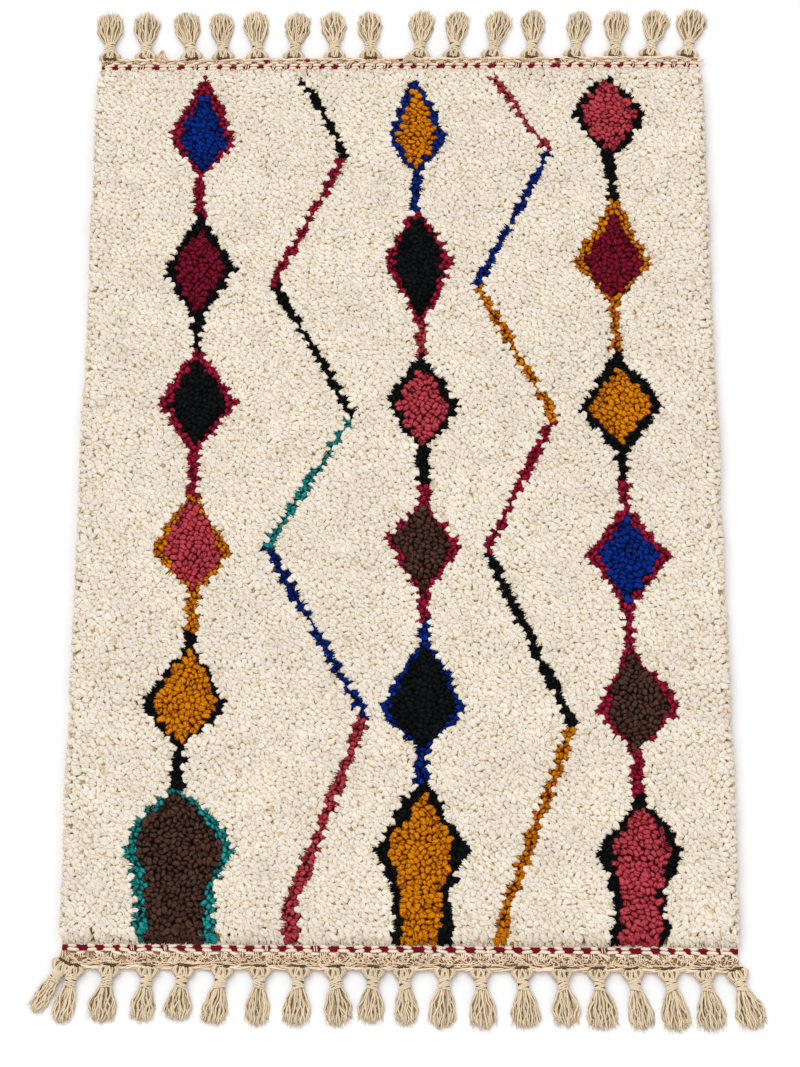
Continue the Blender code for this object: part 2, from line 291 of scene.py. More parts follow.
# ---- the figures, in millimetres -------------------------------------------
# Lozenges: border yarn, filling yarn, tip, left, right and foot, how far the filling stays
# short of the tip and of the foot, and how far the sides bow out.
LOZENGES = [
    ("crimson", "blue", (-321, 735), (-377, 619), (-271, 606), (-326, 545), (30, 2), 2.5),
    ("black", "burgundy", (-325, 471), (-379, 367), (-266, 373), (-325, 274), (20, 14), 1.5),
    ("crimson", "black", (-325, 230), (-379, 133), (-258, 135), (-323, 46), (19, 10), 3),
    ("ochre", "rose", (-323, -23), (-384, -116), (-263, -126), (-319, -189), (8, 5), 4.5),
    ("black", "ochre", (-320, -278), (-390, -368), (-264, -371), (-332, -438), (3, 2), 5),
    ("blue", "ochre", (24, 729), (-19, 616), (77, 612), (25, 545), (20, 12), 4),
    ("crimson", "black", (27, 479), (-23, 389), (84, 384), (33, 274), (11, 5), 6.5),
    ("black", "rose", (34, 214), (-21, 135), (93, 126), (34, 53), (16, 6), 4),
    ("crimson", "brown", (39, -35), (-23, -98), (93, -110), (35, -197), (7, 8), 2),
    ("blue", "black", (39, -265), (-29, -377), (99, -373), (31, -441), (9, 3), 6.5),
    ("black", "rose", (343, 728), (284, 660), (404, 654), (344, 568), (6, 14), 5.5),
    ("ochre", "burgundy", (347, 501), (283, 382), (407, 376), (343, 307), (24, 2), 0),
    ("black", "ochre", (347, 224), (284, 122), (416, 131), (347, 38), (24, 22), 0.5),
    ("crimson", "blue", (352, -38), (290, -124), (417, -128), (350, -227), (19, 20), -2.5),
    ("crimson", "brown", (351, -284), (300, -382), (426, -371), (355, -446), (3, 3), 5),
]
# Houses: border yarn, filling yarn, then at each turn how far along, the left side, the
# filling's left and right, and the right side.
HOUSES = [
    ("teal", "brown", [
        (-510, -341, -340, -339, -338), (-523, -361, -351, -323, -314), (-534, -372, -360, -305, -295),
        (-557, -392, -381, -290, -276), (-587, -406, -394, -268, -255), (-601, -407, -394, -260, -248),
        (-627, -398, -383, -276, -263), (-662, -390, -376, -290, -276), (-745, -387, -375, -289, -275)]),
    ("black", "ochre", [
        (-503, 29, 39, 40, 42), (-518, 5, 30, 42, 58), (-534, -4, 22, 48, 60), (-557, -12, 5, 63, 71),
        (-574, -22, -12, 72, 87), (-598, -36, -16, 79, 104), (-623, -26, -10, 75, 86),
        (-666, -8, 1, 60, 73), (-709, -8, 3, 63, 74), (-745, -7, -1, 62, 68)]),
    ("black", "rose", [
        (-513, 358, 359, 360, 361), (-528, 350, 359, 361, 373), (-557, 327, 337, 385, 397),
        (-585, 302, 319, 401, 412), (-601, 295, 315, 402, 417), (-627, 306, 320, 393, 404),
        (-666, 317, 329, 383, 391), (-745, 314, 322, 386, 392)]),
]
BORDER = 14                # how far in from the sides a lozenge's filling starts
TIP_BORDER = 8             # a border goes on at least this far round its filling
FILLING_SPREAD = -1.5      # the filling's ends lean over the border, so it starts further in
OUTLINE_SPREAD = 3.0       # the border's ends splay by this much
LINE_SPREAD = 4.1          # and the ends of a line's yarns by this much
# Stems between the lozenges: yarn, half width, top (across, along) and foot.
STEMS = [
    ("crimson", 6, (-326, 550), (-325, 471)), ("black", 6, (-325, 276), (-325, 230)),
    ("crimson", 6, (-323, 50), (-323, -23)), ("ochre", 6, (-319, -185), (-319, -247)),
    ("black", 6, (-319, -247), (-320, -284)), ("black", 7, (-331, -432), (-336, -508)),
    ("blue", 6, (25, 549), (26, 479)), ("rose", 6, (33, 280), (34, 214)),
    ("black", 8, (34, 58), (36, 5)), ("crimson", 6, (36, 5), (38, -35)),
    ("crimson", 6, (35, -193), (36, -229)), ("blue", 6, (37, -229), (39, -268)),
    ("blue", 7, (31, -437), (33, -506)), ("black", 6, (344, 572), (346, 498)),
    ("ochre", 5, (343, 311), (345, 228)), ("black", 6, (347, 42), (349, 12)),
    ("crimson", 5, (349, 12), (351, -47)), ("crimson", 6, (350, -223), (351, -286)),
    ("crimson", 7, (355, -442), (358, -514)),
]
# Zigzags: where each starts, then the yarn of a stretch, its half width and where it ends.
ZIGZAGS = [
    ((-164, 722), [
        ("black", 5, (-144, 696)), ("black", 4.5, (-90, 581)), ("crimson", 4.5, (-204, 347)),
        ("black", 4.5, (-74, 112)), ("teal", 4.5, (-206, -111)), ("blue", 5, (-54, -387)),
        ("rose", 6, (-145, -644)), ("rose", 7, (-161, -675)), ("rose", 8, (-163, -742))]),
    ((156, 722), [
        ("rose", 5, (245, 588)), ("blue", 4.5, (124, 342)), ("ochre", 5, (243, 109)),
        ("crimson", 4.5, (135, -119)), ("black", 5, (261, -401)), ("ochre", 6, (173, -641)),
        ("ochre", 6, (153, -694)), ("ochre", 7, (151, -742))]),
]
# Single knots of another yarn, strayed into the cream, how wide half of one is, and its tallness.
STRAYS = [("rose", (27, 592)), ("ochre", (358, 606)), ("burgundy", (361, 327)), ("ochre", (85, -598))]
STRAY_KNOT = {"half": 5.0, "tall": 1.3}
STEEPEST = 1.35            # a slanting line's knots close up by no more than this
YARNS = ["cream", "black", "crimson", "rose", "burgundy", "blue", "ochre", "teal", "brown"]


def gap_to_line(x, y, start, end):
    """Distance of places from a straight stretch."""
    run = np.subtract(end, start).astype(float)
    share = ((x - start[0]) * run[0] + (y - start[1]) * run[1]) / (run @ run)
    share = np.clip(share, 0, 1)
    return np.hypot(x - start[0] - share * run[0], y - start[1] - share * run[1])


def gap_to_outline(x, y, corners):
    """Distance of places from a closed outline, negative inside it. A level foot stays open."""
    gap = np.full(x.shape, np.inf)
    inside = np.zeros(x.shape, bool)
    for i, start in enumerate(corners):
        end = corners[(i + 1) % len(corners)]
        if start[1] != end[1]:
            gap = np.minimum(gap, gap_to_line(x, y, start, end))
            crossing = start[0] + (y - start[1]) * (end[0] - start[0]) / (end[1] - start[1])
            inside ^= ((start[1] > y) != (end[1] > y)) & (x < crossing)
    return np.where(inside, -gap, gap)


def bowed(corners, bow):
    """An outline whose sides bow outwards at their middles."""
    centre = np.mean(corners, axis=0)
    for start, end in zip(corners, corners[1:] + corners[:1]):
        middle = (np.array(start) + end) / 2
        out = middle - centre
        yield from (start, tuple(middle + bow * out / np.hypot(*out)))


def closed_figures():
    """Every lozenge and house: border yarn, filling yarn, outline and the filling's outline."""
    for border, filling, tip, left, right, foot, (tip_short, foot_short), bow in LOZENGES:
        inner = [
            (tip[0], tip[1] - tip_short), (left[0] + BORDER, left[1]),
            (foot[0], foot[1] + foot_short), (right[0] - BORDER, right[1])]
        yield border, filling, list(bowed([tip, left, foot, right], bow)), list(bowed(inner, bow))
    for border, filling, turns in HOUSES:
        left, inner_left, inner_right, right = ([(turn[i], turn[0]) for turn in turns] for i in (1, 2, 3, 4))
        yield border, filling, left + right[::-1], inner_left + inner_right[::-1]


def lines():
    """Every stretch of a stem or zigzag: yarn, half width, start and end."""
    yield from STEMS
    for start, stretches in ZIGZAGS:
        for yarn, half, end in stretches:
            yield yarn, half, start, end
            start = end


def chart(x, y):
    """The yarn of each place, in millimetres, and its distance from the nearest border or line."""
    yarn = np.zeros(x.shape, int)
    edge = np.full(x.shape, np.inf)
    for name, place in STRAYS:
        gap = np.hypot(x - place[0], (y - place[1]) / STRAY_KNOT["tall"])
        yarn[gap < STRAY_KNOT["half"]] = YARNS.index(name)
    for name, half, start, end in lines():
        gap = gap_to_line(x, y, start, end)
        # Along a slanting stretch each row of knots takes the ones nearest the line.
        slant = math.hypot(end[0] - start[0], end[1] - start[1]) / abs(end[1] - start[1])
        beyond = gap * min(slant, STEEPEST) - half - LINE_SPREAD
        yarn[(beyond < 0) & (yarn == 0)] = YARNS.index(name)
        edge = np.minimum(edge, beyond)
    for border, filling, outline, inner in closed_figures():
        inside = gap_to_outline(x, y, inner) - FILLING_SPREAD
        outside = np.minimum(gap_to_outline(x, y, outline) - OUTLINE_SPREAD, inside - TIP_BORDER)
        yarn[outside < 0] = YARNS.index(border)
        yarn[inside < 0] = YARNS.index(filling)
        edge = np.where(inside < 0, np.inf, edge)
        edge = np.minimum(edge, np.maximum(outside, -inside))
    return yarn, edge


# ---- finishes --------------------------------------------------------------
# The depth attribute drives painted light and shade: a painted highlight at the crest, painted shade deep
# down.
RAMP_DEPTH = 8.0           # millimetres of depth that a yarn's colours run through
PLY_PITCH = 6.0            # millimetres between the lines of a tuft's plies
PLY_LINE = 0.16            # a line has faded at this height of the wave, whose top is 1
FIBRE_PITCH = 0.8          # millimetres between fibres, as coarse as a hand-spun yarn shows
WAVE_PITCH = 0.314         # metres between the bands of a Wave texture with a scale of 1


def wave_scale(millimetres):
    """The scale at which a Wave texture's bands lie this far apart."""
    return WAVE_PITCH / (millimetres * MM)


def wool(name, crest, body, groove, pit, stops=(0.2, 0.9, 1.5, 2.8), tones=0.10, sheen=0.0, curls=0.0):
    """Hand-spun wool, matt and softly fuzzed: a painted highlight on each yarn's crest, and painted
    shade that darkens and warms the colour down between the yarns; every yarn takes the dye a little
    differently, and the surface is fibrous. Stops are the depths of the four colours in millimetres,
    from the painted highlight through the yarn's own colour to the painted shade, tones is how much
    the yarns differ, and curls is how dark the painted shade is in the lines between a tuft's plies."""
    finish = bpy.data.materials.new(name)
    finish.use_nodes = True
    tree = finish.node_tree
    shader = tree.nodes["Principled BSDF"]
    # Painted light and shade: the depth below each yarn's crest runs its colour from a painted highlight
    # (crest) through its own colour (body) to painted shade (groove, then pit).
    depth = add_node(tree, "ShaderNodeAttribute", {"attribute_name": "depth"})
    share = add_node(
        tree, "ShaderNodeMapRange", {"From Min": 0.0, "From Max": RAMP_DEPTH * MM},
        {"Value": depth.outputs["Fac"]})
    ramp = add_node(tree, "ShaderNodeValToRGB", links={"Fac": share.outputs["Result"]})
    marks = ramp.color_ramp.elements
    places = [millimetres / RAMP_DEPTH for millimetres in stops]
    marks[0].position, marks[1].position = places[0], places[3]
    marks[0].color, marks[1].color = (*linear(crest), 1), (*linear(pit), 1)
    for position, colour in ((places[1], body), (places[2], groove)):
        marks.new(position).color = (*linear(colour), 1)

    tone = add_node(tree, "ShaderNodeAttribute", {"attribute_name": "tone"})
    place = add_node(tree, "ShaderNodeTexCoord")
    # Soft patches, about 60 mm across, where the wool came from another batch.
    patches = add_node(
        tree, "ShaderNodeTexNoise", {"Scale": 16.0, "Detail": 2.0}, {"Vector": place.outputs["Object"]})
    by_yarn = add_node(
        tree, "ShaderNodeMapRange", {"From Min": -1.0, "To Min": 1 - tones, "To Max": 1 + tones},
        {"Value": tone.outputs["Fac"]})
    by_patch = add_node(
        tree, "ShaderNodeMapRange", {"From Min": 0.3, "From Max": 0.7, "To Min": 0.95, "To Max": 1.05},
        {"Value": patches.outputs["Fac"]})
    value = add_node(
        tree, "ShaderNodeMath", {"operation": "MULTIPLY"},
        {0: by_yarn.outputs["Result"], 1: by_patch.outputs["Result"]})
    # The plies of a tuft curl past one another, in fine crooked lines of painted shade in the groove colour.
    plies = add_node(
        tree, "ShaderNodeTexWave",
        {"bands_direction": "DIAGONAL", "Scale": wave_scale(PLY_PITCH), "Distortion": 9.0, "Detail": 1.0,
         "Detail Scale": 1.6},
        {"Vector": place.outputs["Object"]})
    line = add_node(
        tree, "ShaderNodeMapRange", {"From Max": PLY_LINE, "To Min": curls, "To Max": 0.0},
        {"Value": plies.outputs["Fac"]})
    plied = add_node(
        tree, "ShaderNodeMix", {"data_type": "RGBA", 7: (*linear(groove), 1)},
        {0: line.outputs["Result"], 6: ramp.outputs["Color"]})
    colour = add_node(
        tree, "ShaderNodeHueSaturation", links={"Color": plied.outputs[2], "Value": value.outputs["Value"]})
    fibres = add_node(
        tree, "ShaderNodeTexNoise", {"Scale": 1 / (FIBRE_PITCH * MM), "Detail": 3.0, "Roughness": 0.6},
        {"Vector": place.outputs["Object"]})
    bump = add_node(
        tree, "ShaderNodeBump", {"Strength": 0.35, "Distance": 0.4 * MM}, {"Height": fibres.outputs["Fac"]})
    tree.links.new(colour.outputs["Color"], shader.inputs["Base Color"])
    tree.links.new(bump.outputs["Normal"], shader.inputs["Normal"])
    shader.inputs["Roughness"].default_value = 0.95
    shader.inputs["Specular IOR Level"].default_value = 0.08
    shader.inputs["Sheen Weight"].default_value = sheen
    shader.inputs["Sheen Roughness"].default_value = 0.5
    return finish


# Each dyed yarn's colours from its crest down to its pit (a painted highlight, its own dyed colour, then two
# of painted shade), and how much its yarns differ.
DYE_AND_SHADE_RAMPS = {
    "black": ("#0F1112", "#060809", "#020303", "#010101", 0.4),
    "crimson": ("#A01838", "#840C2C", "#4A0414", "#220208", 0.16),
    "rose": ("#B8434D", "#9A2C37", "#560E16", "#2C0408", 0.14),
    "burgundy": ("#761028", "#5C0619", "#2C0208", "#150104", 0.2),
    "blue": ("#032C80", "#021A60", "#000730", "#000314", 0.25),
    "ochre": ("#D08000", "#B26200", "#6A2E00", "#381500", 0.12),
    "teal": ("#1E918D", "#116C6B", "#043436", "#011A1B", 0.25),
    "brown": ("#4E342A", "#342119", "#150A07", "#080403", 0.25),
}
# The cream's colours run the same way: a painted highlight, its own colour, then painted shade in the groove
# and pit.
PILE_FINISHES = {
    "cream": wool(
        "cream_pile_wool", "#E9E1D5", "#E2D6C4", "#CDB185", "#9A7040", stops=(0.20, 1.0, 2.5, 4.0),
        tones=0.06, sheen=0.03, curls=0.85)}
for dye, (*shades, tones) in DYE_AND_SHADE_RAMPS.items():
    PILE_FINISHES[dye] = wool(f"{dye}_pile_wool", *shades, tones=tones, curls=0.75)


# ---- the knotted pile ------------------------------------------------------
def yarn_end(sides, tip=1.0, curl=0.0, arch=0.0):
    """One end of a knotted yarn, pressed to a flat-topped patch with steep sides. It is one
    unit long and wide, points along X, and hangs one unit down from its crest."""
    deselect_all()
    bpy.ops.mesh.primitive_cylinder_add(
        vertices=sides, radius=0.5, depth=1.0, location=(0, 0, -0.5), rotation=(0, 0, -math.pi / 2))
    piece = bpy.context.object
    bpy.ops.object.transform_apply(location=True, rotation=True, scale=True)
    bpy.ops.object.mode_set(mode="EDIT")
    # The shoulder is drawn in below the crest, and the top rises from it in two steps.
    pick(piece, lambda co: co.z > -0.5)
    bpy.ops.transform.resize(value=(0.93, 0.92, 1.0), center_override=(0, 0, 0))
    bpy.ops.transform.translate(value=(0, 0, -0.22))
    bpy.ops.mesh.inset(thickness=0.10)
    bpy.ops.transform.translate(value=(0, 0, 0.16))
    bpy.ops.mesh.poke()
    pick(piece, lambda co: math.hypot(co.x, co.y) < 0.05 and co.z > -0.5)
    bpy.ops.transform.translate(value=(0, 0, 0.06))
    # The front end is widened or drawn in, and both ends curl to one side and bend down.
    pick(piece, lambda co: co.x > 0.3)
    bpy.ops.transform.resize(value=(1.0, tip, 1.0), center_override=(0.4, 0, 0))
    bpy.ops.transform.translate(value=(0, curl, -arch))
    pick(piece, lambda co: co.x < -0.3)
    bpy.ops.transform.translate(value=(0, curl, -0.5 * arch))
    bpy.ops.object.mode_set(mode="OBJECT")
    return take_shape(piece)


def tuft(tip):
    """A tuft, one unit long, wide and high at its hidden foot, along X to its tip."""
    deselect_all()
    bpy.ops.mesh.primitive_cone_add(
        vertices=5, radius1=0.5, radius2=tip, depth=1.0, location=(0.5, 0, 0), rotation=(0, math.pi / 2, 0))
    piece = bpy.context.object
    bpy.ops.object.transform_apply(location=True, rotation=True, scale=True)
    return take_shape(piece)


def turned(yaw, pitch=0.0, roll=0.0):
    """Turning matrices, one a copy: rolled, then pitched, then turned on the floor."""
    angles = np.broadcast_arrays(yaw, pitch, roll)
    cy, sy, cp, sp, cr, sr = (f(a) for a in angles for f in (np.cos, np.sin))
    rows = [
        [cy * cp, cy * sp * sr - sy * cr, cy * sp * cr + sy * sr],
        [sy * cp, sy * sp * sr + cy * cr, sy * sp * cr - cy * sr],
        [-sp, cp * sr, cp * cr],
    ]
    return np.moveaxis(np.array(rows), 2, 0)


def turn_copies(turns, points):
    return np.einsum("nij,nvj->nvi", turns, points)


def knot_places(rng):
    """Where every yarn end of the field is tied: across and along."""
    columns = (np.arange(ENDS_ACROSS) + 0.5) / ENDS_ACROSS - 0.5
    rows = (np.arange(END_ROWS) + 0.5) / END_ROWS - 0.5
    x, y = (grid.ravel() for grid in np.meshgrid(columns, rows))
    shift = rng.uniform(-ROW_STRAY, ROW_STRAY, END_ROWS) + np.tile([-ROW_SHIFT, ROW_SHIFT], END_ROWS // 2)
    shift /= ENDS_ACROSS
    x = (x + shift.repeat(ENDS_ACROSS)) * (FIELD_WIDTH - 0.8 * END_WIDTH)
    y = FIELD_MID_Y + y * (FIELD_LENGTH - 0.8 * END_WIDTH)
    return x, y


def swirled(x, y, rng):
    """The way that each end points in the open field: waves of several lengths, and chance."""
    ways, lengths, shifts = (
        rng.uniform(low, high, SWIRLS["count"]) for low, high in ((0, TURN), SWIRLS["lengths"], (0, TURN)))
    yaw = rng.normal(0, STRAY["field"], len(x))
    for way, length, shift in zip(ways, lengths, shifts):
        yaw += SWIRLS["swing"] * np.sin(TURN * (x * math.cos(way) + y * math.sin(way)) / length + shift)
    return yaw


def reach_towards(angle, size):
    """How far an unpressed yarn end reaches at an angle from its own length."""
    return 1 / np.hypot(2 * np.cos(angle) / size[:, 0], 2 * np.sin(angle) / size[:, 1])


def neighbours(mine):
    """Pairs of yarn ends that can touch: of those asked for, and the ones tied near them."""
    row, column = np.divmod(mine, ENDS_ACROSS)
    for up in range(-3, 4):
        for along in range(-2, 3):
            near = (row + up >= 0) & (row + up < END_ROWS)
            near &= (column + along >= 0) & (column + along < ENDS_ACROSS)
            if up or along:
                yield near, mine[near], mine[near] + up * ENDS_ACROSS + along


def facing(me, other, x, y, yaw, size):
    """From each end to its neighbour: the way there, and how far each of them reaches."""
    gap_x, gap_y = x[other] - x[me], y[other] - y[me]
    far = np.hypot(gap_x, gap_y) + 1e-6
    way = np.arctan2(gap_y, gap_x)
    own = reach_towards(way - yaw[me], size[me])
    theirs = reach_towards(way - yaw[other], size[other])
    return gap_x / far, gap_y / far, far, own, theirs


def settled(x, y, yaw, size):
    """The ends push one another apart until they are spread evenly."""
    everyone = np.arange(len(x))
    half_x, half_y = FIELD_WIDTH / 2 - SETTLING["inset"], FIELD_LENGTH / 2 - SETTLING["inset"]
    for _ in range(SETTLING["rounds"]):
        push_x, push_y = np.zeros(len(x)), np.zeros(len(x))
        for near, me, other in neighbours(everyone):
            way_x, way_y, far, own, theirs = facing(me, other, x, y, yaw, size)
            press = np.maximum(SETTLING["touch"] * (own + theirs) - far, 0)
            push_x[near] -= way_x * press
            push_y[near] -= way_y * press
        x = np.clip(x + SETTLING["give"] * push_x, -half_x, half_x)
        y = np.clip(y + SETTLING["give"] * push_y, FIELD_MID_Y - half_y, FIELD_MID_Y + half_y)
    return x, y


def pressed(mine, offsets, slack, ends):
    """Draw in the plan of some yarn ends, points about their middles, where their
    neighbours press on them. The one with the longer reach that way takes the more room."""
    worst = np.ones(offsets.shape[:2])
    for near, me, other in neighbours(mine):
        way_x, way_y, far, own, theirs = facing(me, other, ends.x, ends.y, ends.yaw, ends.size)
        room = far * own / (own + theirs) + CROWD * np.sign(ends.rank[me] - ends.rank[other])
        towards = offsets[near, :, 0] * way_x[:, None] + offsets[near, :, 1] * way_y[:, None]
        room = np.maximum(room[:, None] + slack[near], LEAST_ROOM)
        worst[near] = np.maximum(worst[near], towards / room)
    # At the rim nothing presses from outside, but the yarn turns down there.
    rims = (
        (0, FIELD_WIDTH / 2, ends.x[mine], RIM_OVERHANG["sides"]),
        (1, FIELD_LENGTH / 2, ends.y[mine] - FIELD_MID_Y, RIM_OVERHANG["ends"]))
    for axis, half, place, overhang in rims:
        for side in (-1, 1):
            room = np.maximum(half - side * place, 0) + overhang
            worst = np.maximum(worst, side * offsets[:, :, axis] / room[:, None])
    return offsets / worst[:, :, None]


def across_edges(x, y, step=2.0):
    """The way in which the distance from the nearest figure's edge grows, over a few millimetres."""
    lean_x = chart(x / MM + step, y / MM)[1] - chart(x / MM - step, y / MM)[1]
    lean_y = chart(x / MM, y / MM + step)[1] - chart(x / MM, y / MM - step)[1]
    return np.arctan2(lean_y, lean_x)


def tied_ends(rng, kinds):
    """Every yarn end of the field: where it lies and how it is turned, its size and kind,
    its yarn and shade, and how it stands to the nearest figure's edge and to the rim."""
    x, y = knot_places(rng)
    count = len(x)
    x = x + rng.normal(0, SCATTER, count).clip(-2 * SCATTER, 2 * SCATTER)
    y = y + rng.normal(0, SCATTER, count).clip(-2 * SCATTER, 2 * SCATTER)
    size = rng.uniform(*END_SIZES, (count, 3)) * [END_LENGTH, END_WIDTH, END_HEIGHT]
    size[rim_inset(x, y) < RIM_INSETS[-1], 1] *= RIM_END_WIDTH
    yaw = swirled(x, y, rng)
    x, y = settled(x, y, yaw, size)
    yarn, edge = chart(x / MM, y / MM)
    across_edge = across_edges(x, y)
    rank = (edge > 0).astype(int)
    # A border's ends lie along it, those beside it point across it, and those at the rim outwards.
    along_border = np.where(rank == 0, math.pi / 2, 0)
    by_edge = across_edge + rng.normal(0, STRAY["edge"], count) + along_border
    yaw = np.where(np.abs(edge) < BY_EDGE, by_edge, yaw)
    inset = rim_inset(x, y)
    by_side = FIELD_WIDTH / 2 - np.abs(x) < FIELD_LENGTH / 2 - np.abs(y - FIELD_MID_Y)
    outwards = np.where(
        by_side, np.where(x > 0, 0, math.pi), np.where(y > FIELD_MID_Y, math.pi / 2, -math.pi / 2))
    yaw = np.where(inset < AT_RIM, outwards + rng.normal(0, STRAY["rim"], count), yaw)
    droop = np.where(by_side, RIM_DROOP["sides"], RIM_DROOP["ends"]) * (1 - inset / AT_RIM)
    pitch = rng.normal(0, STRAY["level"], count) + np.where(inset < AT_RIM, droop, 0)
    roll = rng.normal(0, STRAY["level"], count)
    top = pile_top(x, y)
    sink = rng.normal(0, SINK, count).clip(-2 * SINK, 1.5 * SINK) - np.where(rank == 0, BORDER_SINK, 0)
    tone = rng.normal(0, 0.5, count).clip(-1, 1)
    kind = rng.integers(0, kinds, count)
    return SimpleNamespace(
        x=x, y=y, middle=np.stack([*on_cloth(x, y), top + sink], axis=1), top=top, yaw=yaw,
        turn=turned(yaw, pitch, roll), size=size, kind=kind, yarn=yarn, tone=tone, edge=edge, rank=rank,
        across_edge=across_edge, inset=inset, by_side=by_side, outwards=outwards)


def gather(heaps, ends, shape, mine, places, depth):
    """Put copies of a shape into the heap of their yarn, and the cream into that of its band."""
    band = ((ends.y[mine] - FIELD_MID_Y) / FIELD_LENGTH + 0.5) * CREAM_BANDS
    band = np.clip(band, 0, CREAM_BANDS - 1).astype(int)
    depth = np.broadcast_to(depth, places.shape[:2])
    for number, name in enumerate(YARNS):
        for part in range(CREAM_BANDS if name == "cream" else 1):
            chosen = (ends.yarn[mine] == number) & ((band == part) | (name != "cream"))
            label = f"cream_pile_{part + 1}" if name == "cream" else f"{name}_pile"
            if chosen.any():
                heap = heaps.setdefault(label, (name, Heap()))[1]
                heap.add(shape, places[chosen], depth[chosen], ends.tone[mine][chosen])


def lay_ends(heaps, ends, shape, mine):
    """Yarn ends of one shape, each pressed by its neighbours."""
    scaled = shape.points[None] * ends.size[mine, None, :]
    plan = turn_copies(turned(ends.yaw[mine]), scaled * [1, 1, 0])[:, :, :2]
    # The flat top, its shoulder and its foot reach different distances.
    ring = np.digitize(-shape.points[:, 2], [0.19, 0.6])
    dyed = np.where(ring == 2, DYED_LAP, -DYED_CREASE) * (ends.yarn[mine, None] > 0)
    slack = np.array([-SHOULDER, -CREASE, LAP])[ring] + dyed
    drawn_in = pressed(mine, plan, slack, ends)
    share = np.linalg.norm(drawn_in, axis=2) / np.maximum(np.linalg.norm(plan, axis=2), 1e-9)
    scaled[:, :, :2] *= share[:, :, None]
    places = turn_copies(ends.turn[mine], scaled) + ends.middle[mine, None, :]
    # Painted shade: each end is coloured darker down its sides and wherever it lies below the pile's top.
    depth = 0.6 * -scaled[:, :, 2] + 0.4 * np.maximum(ends.top[mine, None] - places[:, :, 2], 0)
    gather(heaps, ends, shape, mine, places, depth)


def lay_tufts(shape, x, y, height, way, pitch, size):
    """Copies of a tuft from where they start, with the way they point and their three sizes."""
    begin = np.stack([*on_cloth(x, y), height], axis=1)
    scaled = shape.points[None] * np.stack(size, axis=1)[:, None, :]
    return turn_copies(turned(way, pitch), scaled) + begin[:, None, :]


def jutting_tufts(heaps, ends, rng):
    """Pointed tufts of the cream and of the fillings, which jut over a darker border."""
    shape = tuft(0.0)
    mine = np.flatnonzero((ends.rank == 1) & (ends.edge < JUTTING["within"]))
    count = len(mine)
    for slide in JUTTING["slides"]:
        way = ends.across_edge[mine] + math.pi
        length = ends.edge[mine] * MM + rng.uniform(*JUTTING["past"], count) + TUFT_ROOT
        x = ends.x[mine] - slide * np.sin(way) + rng.normal(0, 0.0006, count)
        y = ends.y[mine] + slide * np.cos(way) + rng.normal(0, 0.0006, count)
        way = way + rng.normal(0, 0.3, count)
        pitch = rng.normal(0.10, 0.08, count)
        grown = rng.uniform(0.75, 1.25, count)
        size = [length, EDGE_TUFT["width"] * grown, EDGE_TUFT["height"] * grown]
        places = lay_tufts(shape, x, y, pile_top(x, y) - 0.0010, way, pitch, size)
        # Painted shade on the hidden foot half of each tuft.
        gather(heaps, ends, shape, mine, places, 0.0003 + 0.0012 * (shape.points[:, 0] < 0.5))


def straying_tufts(heaps, ends, rng):
    """Pointed tufts of the borders' own yarn, which stray over the cream."""
    shape = tuft(0.0)
    out_x, out_y = 10 * np.cos(ends.across_edge), 10 * np.sin(ends.across_edge)
    beside = chart(ends.x / MM + out_x, ends.y / MM + out_y)[0]
    mine = np.flatnonzero((ends.rank == 0) & (ends.edge > -STRAYING["within"]) & (beside == 0))
    count = len(mine)
    further = np.where(ends.yarn[mine] == YARNS.index("teal"), TEAL_STRAY, 1.0)
    for slide in STRAYING["slides"]:
        way = ends.across_edge[mine] + rng.normal(0, 0.3, count)
        stray = rng.uniform(*STRAYING["past"], count) * further
        length = -ends.edge[mine] * MM + stray + TUFT_ROOT
        x = ends.x[mine] - slide * np.sin(way)
        y = ends.y[mine] + slide * np.cos(way)
        pitch = rng.normal(0.02, 0.05, count)
        grown = rng.uniform(0.8, 1.3, count)
        size = [length, EDGE_TUFT["width"] * grown, EDGE_TUFT["height"] * grown]
        places = lay_tufts(shape, x, y, pile_top(x, y) - 0.0006, way, pitch, size)
        # Painted shade on the hidden foot half of each tuft.
        gather(heaps, ends, shape, mine, places, 0.0002 + 0.0006 * (shape.points[:, 0] < 0.5))


def rim_tufts(heaps, ends, rng):
    """Blunt tufts that hang down from the last knots, all round the rim."""
    shape = tuft(0.22)
    # Where no knot lies close to the field's end, one from further in sends its tufts there.
    close = np.flatnonzero(~ends.by_side & (ends.inset < AT_RIM))
    further = np.flatnonzero(~ends.by_side & (ends.inset >= AT_RIM) & (ends.inset < FURTHER_IN))
    other_end = ends.y[further, None] * ends.y[close] < 0
    apart = np.abs(ends.x[further, None] - ends.x[close]) + 1.0 * other_end
    bare = (apart > END_TUFT_ROOM).all(axis=1)
    mine = np.concatenate([np.flatnonzero(ends.inset < AT_RIM), further[bare]])
    count = len(mine)
    at_ends = ~ends.by_side[mine]
    outwards = ends.outwards[mine]
    for slide, drop in RIM_TUFTS:
        way = outwards + rng.normal(0, 0.18, count) * np.where(at_ends, 2, 1)
        x = ends.x[mine] - slide * np.sin(outwards) + rng.normal(0, 0.0008, count)
        y = ends.y[mine] + slide * np.cos(outwards) + rng.normal(0, 0.0008, count)
        height = pile_top(ends.x[mine], ends.y[mine]) - 0.0014 - drop
        past_end = rng.uniform(*END_TUFT["past"], count)
        past_side = rng.uniform(*SIDE_TUFT["past"], count)
        reach = ends.inset[mine] + np.where(at_ends, past_end, past_side)
        fall = height - np.where(at_ends, END_TUFT["tip"], rng.uniform(*SIDE_TUFT["tip"], count))
        grown = rng.uniform(0.8, 1.2, count)
        width = np.where(at_ends, END_TUFT["width"], SIDE_TUFT["width"]) * grown
        size = [np.hypot(reach, fall), width, RIM_TUFT_HEIGHT * grown]
        places = lay_tufts(shape, x, y, height, way, np.arctan2(fall, reach), size)
        # Painted shade on the underside of each tuft.
        gather(heaps, ends, shape, mine, places, 0.0005 + 0.0006 * (shape.points[:, 2] < -0.2))


